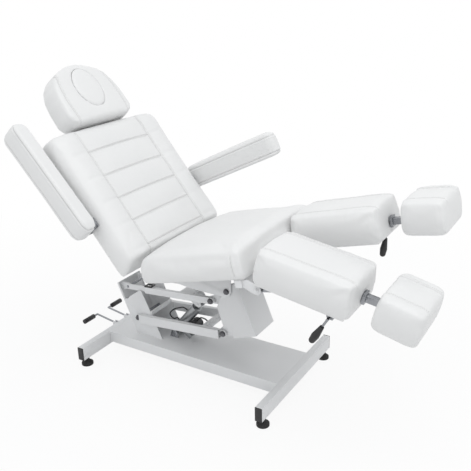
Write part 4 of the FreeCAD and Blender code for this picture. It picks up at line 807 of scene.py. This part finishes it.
wall_rows = [(0.955, -0.0345), (0.955, 0.0), (0.955, 0.0225)]
bead_rows = [(0.93 + 0.042 * math.sin(t * 2) ** 0.8, 0.0240 + 0.0045 * (1 - math.cos(t * 2)) / 2)
             for t in np.linspace(0, math.pi / 2, 9)[1:-1]]
dome_rows = [(0.925 * math.cos(t), 0.0290 + 0.0085 * math.sin(t))
             for t in np.linspace(0.06, math.pi / 2 - 0.02, 16)]
plug_mesh = closed_rows("face_insert_pad", to_world(BACK, oval_plug(wall_rows + bead_rows + dome_rows)))
plug_mesh.materials.append(COVER)
insert_pad = linked("face_insert_pad", plug_mesh)
stands_for(insert_pad, "face_insert", "cover", "face_insert")
print("headrest", len(head_pad.data.vertices), "points, insert", len(plug_mesh.vertices))

# %% [markdown]
# Armrests, leg pads and foot pads are the same on both sides, so each is made once and mirrored: the left
# one is the right one with across negated. That also halves the simulation time.

# %% Armrest, leg and foot pads
LEG_ENDS, LEG_MIDDLE, LEG_PANEL = (-0.010, 0.345), 0.185, 0.087
FOOT_ENDS, FOOT_MIDDLE, FOOT_PANEL = (0.004, 0.152), 0.197, 0.074
arm_made = make_pad("armrest_cushion_right", ELBOW["right"], [round_rim(0.048), round_rim(-0.024)],
                    voxel=0.0045, cap=0.004, full=0.0015, seed=2, slackness=0.0006,
                    shape=domed_ends(-0.028, 0.488, 0.042, 0.62), gather=0.0005)
leg_seams = [lengthwise(-LEG_MIDDLE + side * LEG_PANEL, *LEG_ENDS) for side in SIDES.values()]
leg_made = make_pad("leg_cushion_right", KNEE["right"], leg_seams, voxel=0.005, cap=0.007, full=0.007,
                    seed=4, slackness=0.0010, shape=over_board("leg_board_right", KNEE["right"]),
                    depth=0.0036, crown=0.009, reach=(-0.0167, 9.0))
foot_seams = [lengthwise(-FOOT_MIDDLE + side * FOOT_PANEL, *FOOT_ENDS) for side in SIDES.values()]
foot_made = make_pad("foot_cushion_right", FOOT["right"], foot_seams, voxel=0.005, cap=0.007, full=0.008,
                     seed=7, slackness=0.0008, depth=0.0036, crown=0.011)
leg_pads, foot_pads = {}, {}
for side in SIDES:
    flipped = side == "left"
    pad_object("armrest_pad_" + side, arm_made, ELBOW[side], "armrest_" + side,
               "armrest_cushion_" + side, flipped)
    leg_pads[side] = pad_object("leg_pad_" + side, leg_made, KNEE[side], "leg_" + side,
                                "leg_cushion_" + side, flipped)
    foot_pads[side] = pad_object("foot_pad_" + side + "_cover", foot_made, FOOT[side], "foot_pad_" + side,
                                 "foot_cushion_" + side, flipped)

# %% [markdown]
# ## Stitching
# White thread shows as short stitches on both sides of each sewn line. We lay a line a few millimetres beside
# the seam, drop points from above onto the finished pad, and put one small capsule at each.

# %% Rows of stitches
STITCH_PITCH, STITCH_LONG, STITCH_RADIUS, STITCH_LIFT = 0.0066, 0.0046, 0.00065, 0.0003
STITCH_OFF, CHEEK_OFF, STITCH_SHY, DROP_FROM = 0.0052, 0.0046, 0.002, 0.30


def capsules(at, along, length, radius, sides=6):
    """One small closed spindle for each stitch: five rings along it, thin at its ends, full in the middle."""
    along = along / np.linalg.norm(along, axis=1, keepdims=True)
    side = np.cross(along, [0.31, 0.87, 0.38])
    side /= np.linalg.norm(side, axis=1, keepdims=True)
    third = np.cross(along, side)
    stations = np.array([-1.0, -0.7, 0.0, 0.7, 1.0]) * length / 2
    widths = np.array([0.15, 0.8, 1.0, 0.8, 0.15]) * radius
    t = np.linspace(0, 2 * math.pi, sides, endpoint=False)
    ring = np.cos(t)[None, :, None] * side[:, None, :] + np.sin(t)[None, :, None] * third[:, None, :]
    points = (at[:, None, None, :] + stations[None, :, None, None] * along[:, None, None, :]
              + widths[None, :, None, None] * ring[:, None, :, :])
    number = np.arange(5 * sides).reshape(5, sides)
    after = np.roll(number, -1, axis=1)
    first = np.arange(len(at))[:, None, None] * 5 * sides
    quads = np.stack([number[:-1], after[:-1], after[1:], number[1:]], axis=-1).reshape(-1, 4)[None] + first
    ends = np.stack([number[0][::-1], number[-1]])[None] + first
    return points.reshape(-1, 3), quads.reshape(-1, 4).tolist() + ends.reshape(-1, sides).tolist()


def stitched(name, body, pad, place, lines):
    """Walks each (along, across) line, drops onto the pad from above, and lays a stitch at each hit."""
    tree = BVHTree.FromPolygons([tuple(v) for v in points_of(pad.data)],
                                [tuple(f.vertices) for f in pad.data.polygons])
    down = Vector(-place[1][2])
    hits, ways = [], []
    for line in lines:
        step = np.linalg.norm(np.diff(line, axis=0), axis=1)
        run = np.concatenate([[0], np.cumsum(step)])
        marks = np.arange(STITCH_PITCH / 2, run[-1], STITCH_PITCH)
        flat = np.stack([np.interp(marks, run, line[:, 0]), np.interp(marks, run, line[:, 1])], axis=1)
        start = to_world(place, np.column_stack([flat, np.full(len(flat), DROP_FROM)]))
        found = [tree.ray_cast(Vector(s), down)[0] for s in start]
        good = np.array([tuple(h) if h else (np.nan,) * 3 for h in found])
        way = np.gradient(good, axis=0) if len(good) > 2 else np.zeros_like(good)
        keep = ~np.isnan(good).any(axis=1) & ~np.isnan(way).any(axis=1)
        keep &= np.linalg.norm(way, axis=1) < 2 * STITCH_PITCH
        hits.append(good[keep] + place[1][2] * STITCH_LIFT)
        ways.append(way[keep])
    points, faces = capsules(np.vstack(hits), np.vstack(ways), STITCH_LONG, STITCH_RADIUS)
    mesh = outward_mesh(name, points, faces)
    mesh.materials.append(THREAD)
    stands_for(linked(name, mesh), body, "cover")
    print(name, sum(len(h) for h in hits), "stitches")


def straight(a0, y0, a1, y1):
    """Forty points on a straight line in (along, across)."""
    return np.linspace([a0, y0], [a1, y1], 40)


def both_sides(line, off):
    """The same line moved by plus and minus off, square to its direction."""
    way = np.gradient(line, axis=0)
    square = np.stack([-way[:, 1], way[:, 0]], axis=1) / np.linalg.norm(way, axis=1, keepdims=True)
    return [line + off * square, line - off * square]


def beside_panel(ends, middle, panel, sign):
    """Stitch lines for the two lengthwise seams of a leg or foot pad, a little shorter than the seams."""
    low, high = ends[0] + STITCH_SHY, ends[1] - STITCH_SHY
    return [row for y in (sign * (middle - panel), sign * (middle + panel))
            for row in both_sides(straight(low, y, high, y), STITCH_OFF)]


back_lines = [row for y in (-BACK_PANEL, BACK_PANEL)
              for row in both_sides(straight(BACK_ENDS[0], y, BACK_ENDS[1], y), STITCH_OFF)]
back_lines += [row for a in BACK_CROSS
               for row in both_sides(straight(a, -CROSS_STITCHES, a, CROSS_STITCHES), STITCH_OFF)]
stitched("back_stitches", "back", back_pad, BACK, back_lines)
t = np.linspace(0.13, 0.97, 40)
cheek_line = np.stack([CROWN_END + CHEEK_LONG * t, cheek_half(t)], axis=1)
head_lines = [row * [1, side] for side in (1, -1) for row in both_sides(cheek_line, CHEEK_OFF)]
stitched("headrest_stitches", "headrest", head_pad, BACK, head_lines)
for side, sign in SIDES.items():
    stitched("leg_stitches_" + side, "leg_" + side, leg_pads[side], KNEE[side],
             beside_panel(LEG_ENDS, LEG_MIDDLE, LEG_PANEL, sign))
    stitched("foot_stitches_" + side, "foot_pad_" + side, foot_pads[side], FOOT[side],
             beside_panel(FOOT_ENDS, FOOT_MIDDLE, FOOT_PANEL, sign))

# %% [markdown]
# ## Nuts, washers and threads
# The lift's pivots end in lock nuts on washers, dark against the white arms. The frame has plain rounds
# there. A hexagon is a circle whose radius swells towards six corners, so one lathe function makes both.

# %% Lock nuts on the pivots
AROUND_NUT, HEAD_HIGH = 48, 0.007
WASHER_ROWS = [(0.0060, 0, 0), (0.0125, 0, 0), (0.0129, 0.0005, 0), (0.0129, 0.0015, 0), (0.0125, 0.0020, 0),
               (0.0060, 0.0020, 0)]
NUT_ROWS = [(0.0060, 0.0020, 0), (0.0098, 0.0020, 0.6), (0.0102, 0.0026, 1), (0.0102, 0.0074, 1),
            (0.0098, 0.0082, 0.5), (0.0082, 0.0086, 0), (0.0078, 0.0102, 0), (0.0066, 0.0106, 0)]
BOLT_ROWS = [(0.0052, 0.0050, 0), (0.0052, 0.0114, 0), (0.0047, 0.0122, 0), (0.0030, 0.0126, 0)]
BOLT = finish("dark_zinc", (0.20, 0.20, 0.21), (0.11, 0.11, 0.12), rough=(0.28, 0.48),
              grain=800, depth=0.00004, drift_scale=40.0, metal=1.0)


def turned(rows, corners=0):
    """Rings about an axis from rows of (radius, height, squareness).

    Where squareness is 1, radius / cos(angle to the nearest flat) makes a polygon; where it is 0, a circle.
    """
    radius, height, square = np.array(rows, float).T
    t = np.linspace(0, 2 * math.pi, AROUND_NUT, endpoint=False)
    polygon = np.ones(AROUND_NUT)
    if corners:
        wedge = 2 * math.pi / corners
        polygon = 1 / np.cos((t % wedge) - wedge / 2)
    reach = radius[:, None] * (1 + square[:, None] * (polygon[None] - 1))
    rise = np.repeat(height[:, None], AROUND_NUT, 1)
    return np.stack([reach * np.cos(t), reach * np.sin(t), rise], axis=-1)


def pivot_nut(name, body, x, z, y_out, side):
    """Washer, hexagon nut and rounded bolt end on one side of a pivot, over the frame's plain round."""
    base = y_out - HEAD_HIGH
    joined = bmesh.new()
    for part in (turned(WASHER_ROWS), turned(NUT_ROWS, 6), turned(BOLT_ROWS)):
        grid = np.stack([x + part[..., 0], side * (base + part[..., 2]), z + part[..., 1]], axis=-1)
        joined.from_mesh(closed_rows("nut_part", grid))
    mesh = bpy.data.meshes.new(name)
    joined.to_mesh(mesh)
    joined.free()
    mesh.materials.append(BOLT)
    obj = linked(name, mesh)
    rounded(obj, 0.0003, 25)
    stands_for(obj, body, "zinc")


PIVOTS = {"lower_rear": ("stand", -0.302, 0.179, 0.0888),
          "lower_front": ("carriage", 0.151025, 0.217997, 0.0888),
          "upper_front": ("carriage", 0.091425, 0.353497, 0.0848),
          "tilt": ("carriage", 0.176525, 0.419997, 0.0923)}
for label, (body, x, z, y_out) in PIVOTS.items():
    for side, sign in SIDES.items():
        pivot_nut("nut_" + label + "_" + side, body, x, z, y_out, sign)
print(2 * len(PIVOTS), "lock nuts")

# %% [markdown]
# Under each leg a threaded spindle shows between its holders. A thread is a tube whose radius rises and falls
# with the angle plus the distance along it, so the ridge climbs by one pitch each turn.

# %% Threaded spindles
RIDGE = 0.00045


def thread_tube(a0, a1, y, b, radius, pitch, around=20, per_turn=6):
    """Radius r + ridge * a triangle wave from -1/2 to 1/2 of (along / pitch - angle / full turn)."""
    along = np.arange(a0, a1, pitch / per_turn)
    t = np.linspace(0, 2 * math.pi, around, endpoint=False)
    phase = (along[:, None] / pitch - t[None] / (2 * math.pi)) % 1.0
    reach = radius + RIDGE * (1 - 4 * np.abs(phase - 0.5)) / 2
    run = np.repeat(along[:, None], around, 1)
    return np.stack([run, y + reach * np.cos(t), b + reach * np.sin(t)], axis=-1)


for side, sign in SIDES.items():
    grid = thread_tube(0.0235, 0.2745, y=sign * 0.2555, b=0.0187, radius=0.00635, pitch=0.0022)
    mesh = closed_rows("leg_spindle_" + side, to_world(KNEE[side], grid))
    mesh.materials.append(BOLT)
    stands_for(linked("leg_spindle_" + side, mesh), "leg_" + side, "zinc")
    print("spindle", side, len(mesh.polygons), "faces")

# %% [markdown]
# ## The floor
# The floor is a wide sheet that catches the chair's shadow near it and turns plain white further out, so that
# no horizon shows.

# %% Floor
FLOOR_HALF = 300.0
corner = np.array([[-1, -1, 0], [1, -1, 0], [1, 1, 0], [-1, 1, 0]], float) * FLOOR_HALF
floor_mesh = bpy.data.meshes.new("floor")
floor_mesh.from_pydata(corner.tolist(), [], [(0, 1, 2, 3)])
floor = linked("floor", floor_mesh)
floor_mat = bpy.data.materials.new("pale_floor")
floor_mat.use_nodes = True
ground, ground_links = floor_mat.node_tree.nodes, floor_mat.node_tree.links
lit = ground["Principled BSDF"]
lit.inputs["Base Color"].default_value = (0.82, 0.82, 0.82, 1)
lit.inputs["Roughness"].default_value = 0.9
glow = ground.new("ShaderNodeEmission")
ground_place, away = ground.new("ShaderNodeTexCoord"), ground.new("ShaderNodeVectorMath")
away.operation = "LENGTH"
ground_links.new(ground_place.outputs["Object"], away.inputs[0])
near = ground.new("ShaderNodeMapRange")
for label, value in (("From Min", 0.8), ("From Max", 2.6), ("To Min", 0.90), ("To Max", 1.0)):
    near.inputs[label].default_value = value
ground_links.new(away.outputs["Value"], near.inputs["Value"])
direct = seen_directly(ground, ground_links)
share = math_node(ground, ground_links, "MULTIPLY", near.outputs["Result"], direct)
mixed(ground, ground_links, share, lit, glow, ground["Material Output"].inputs[0])
floor_mesh.materials.append(floor_mat)
print("floor", 2 * FLOOR_HALF, "m wide")
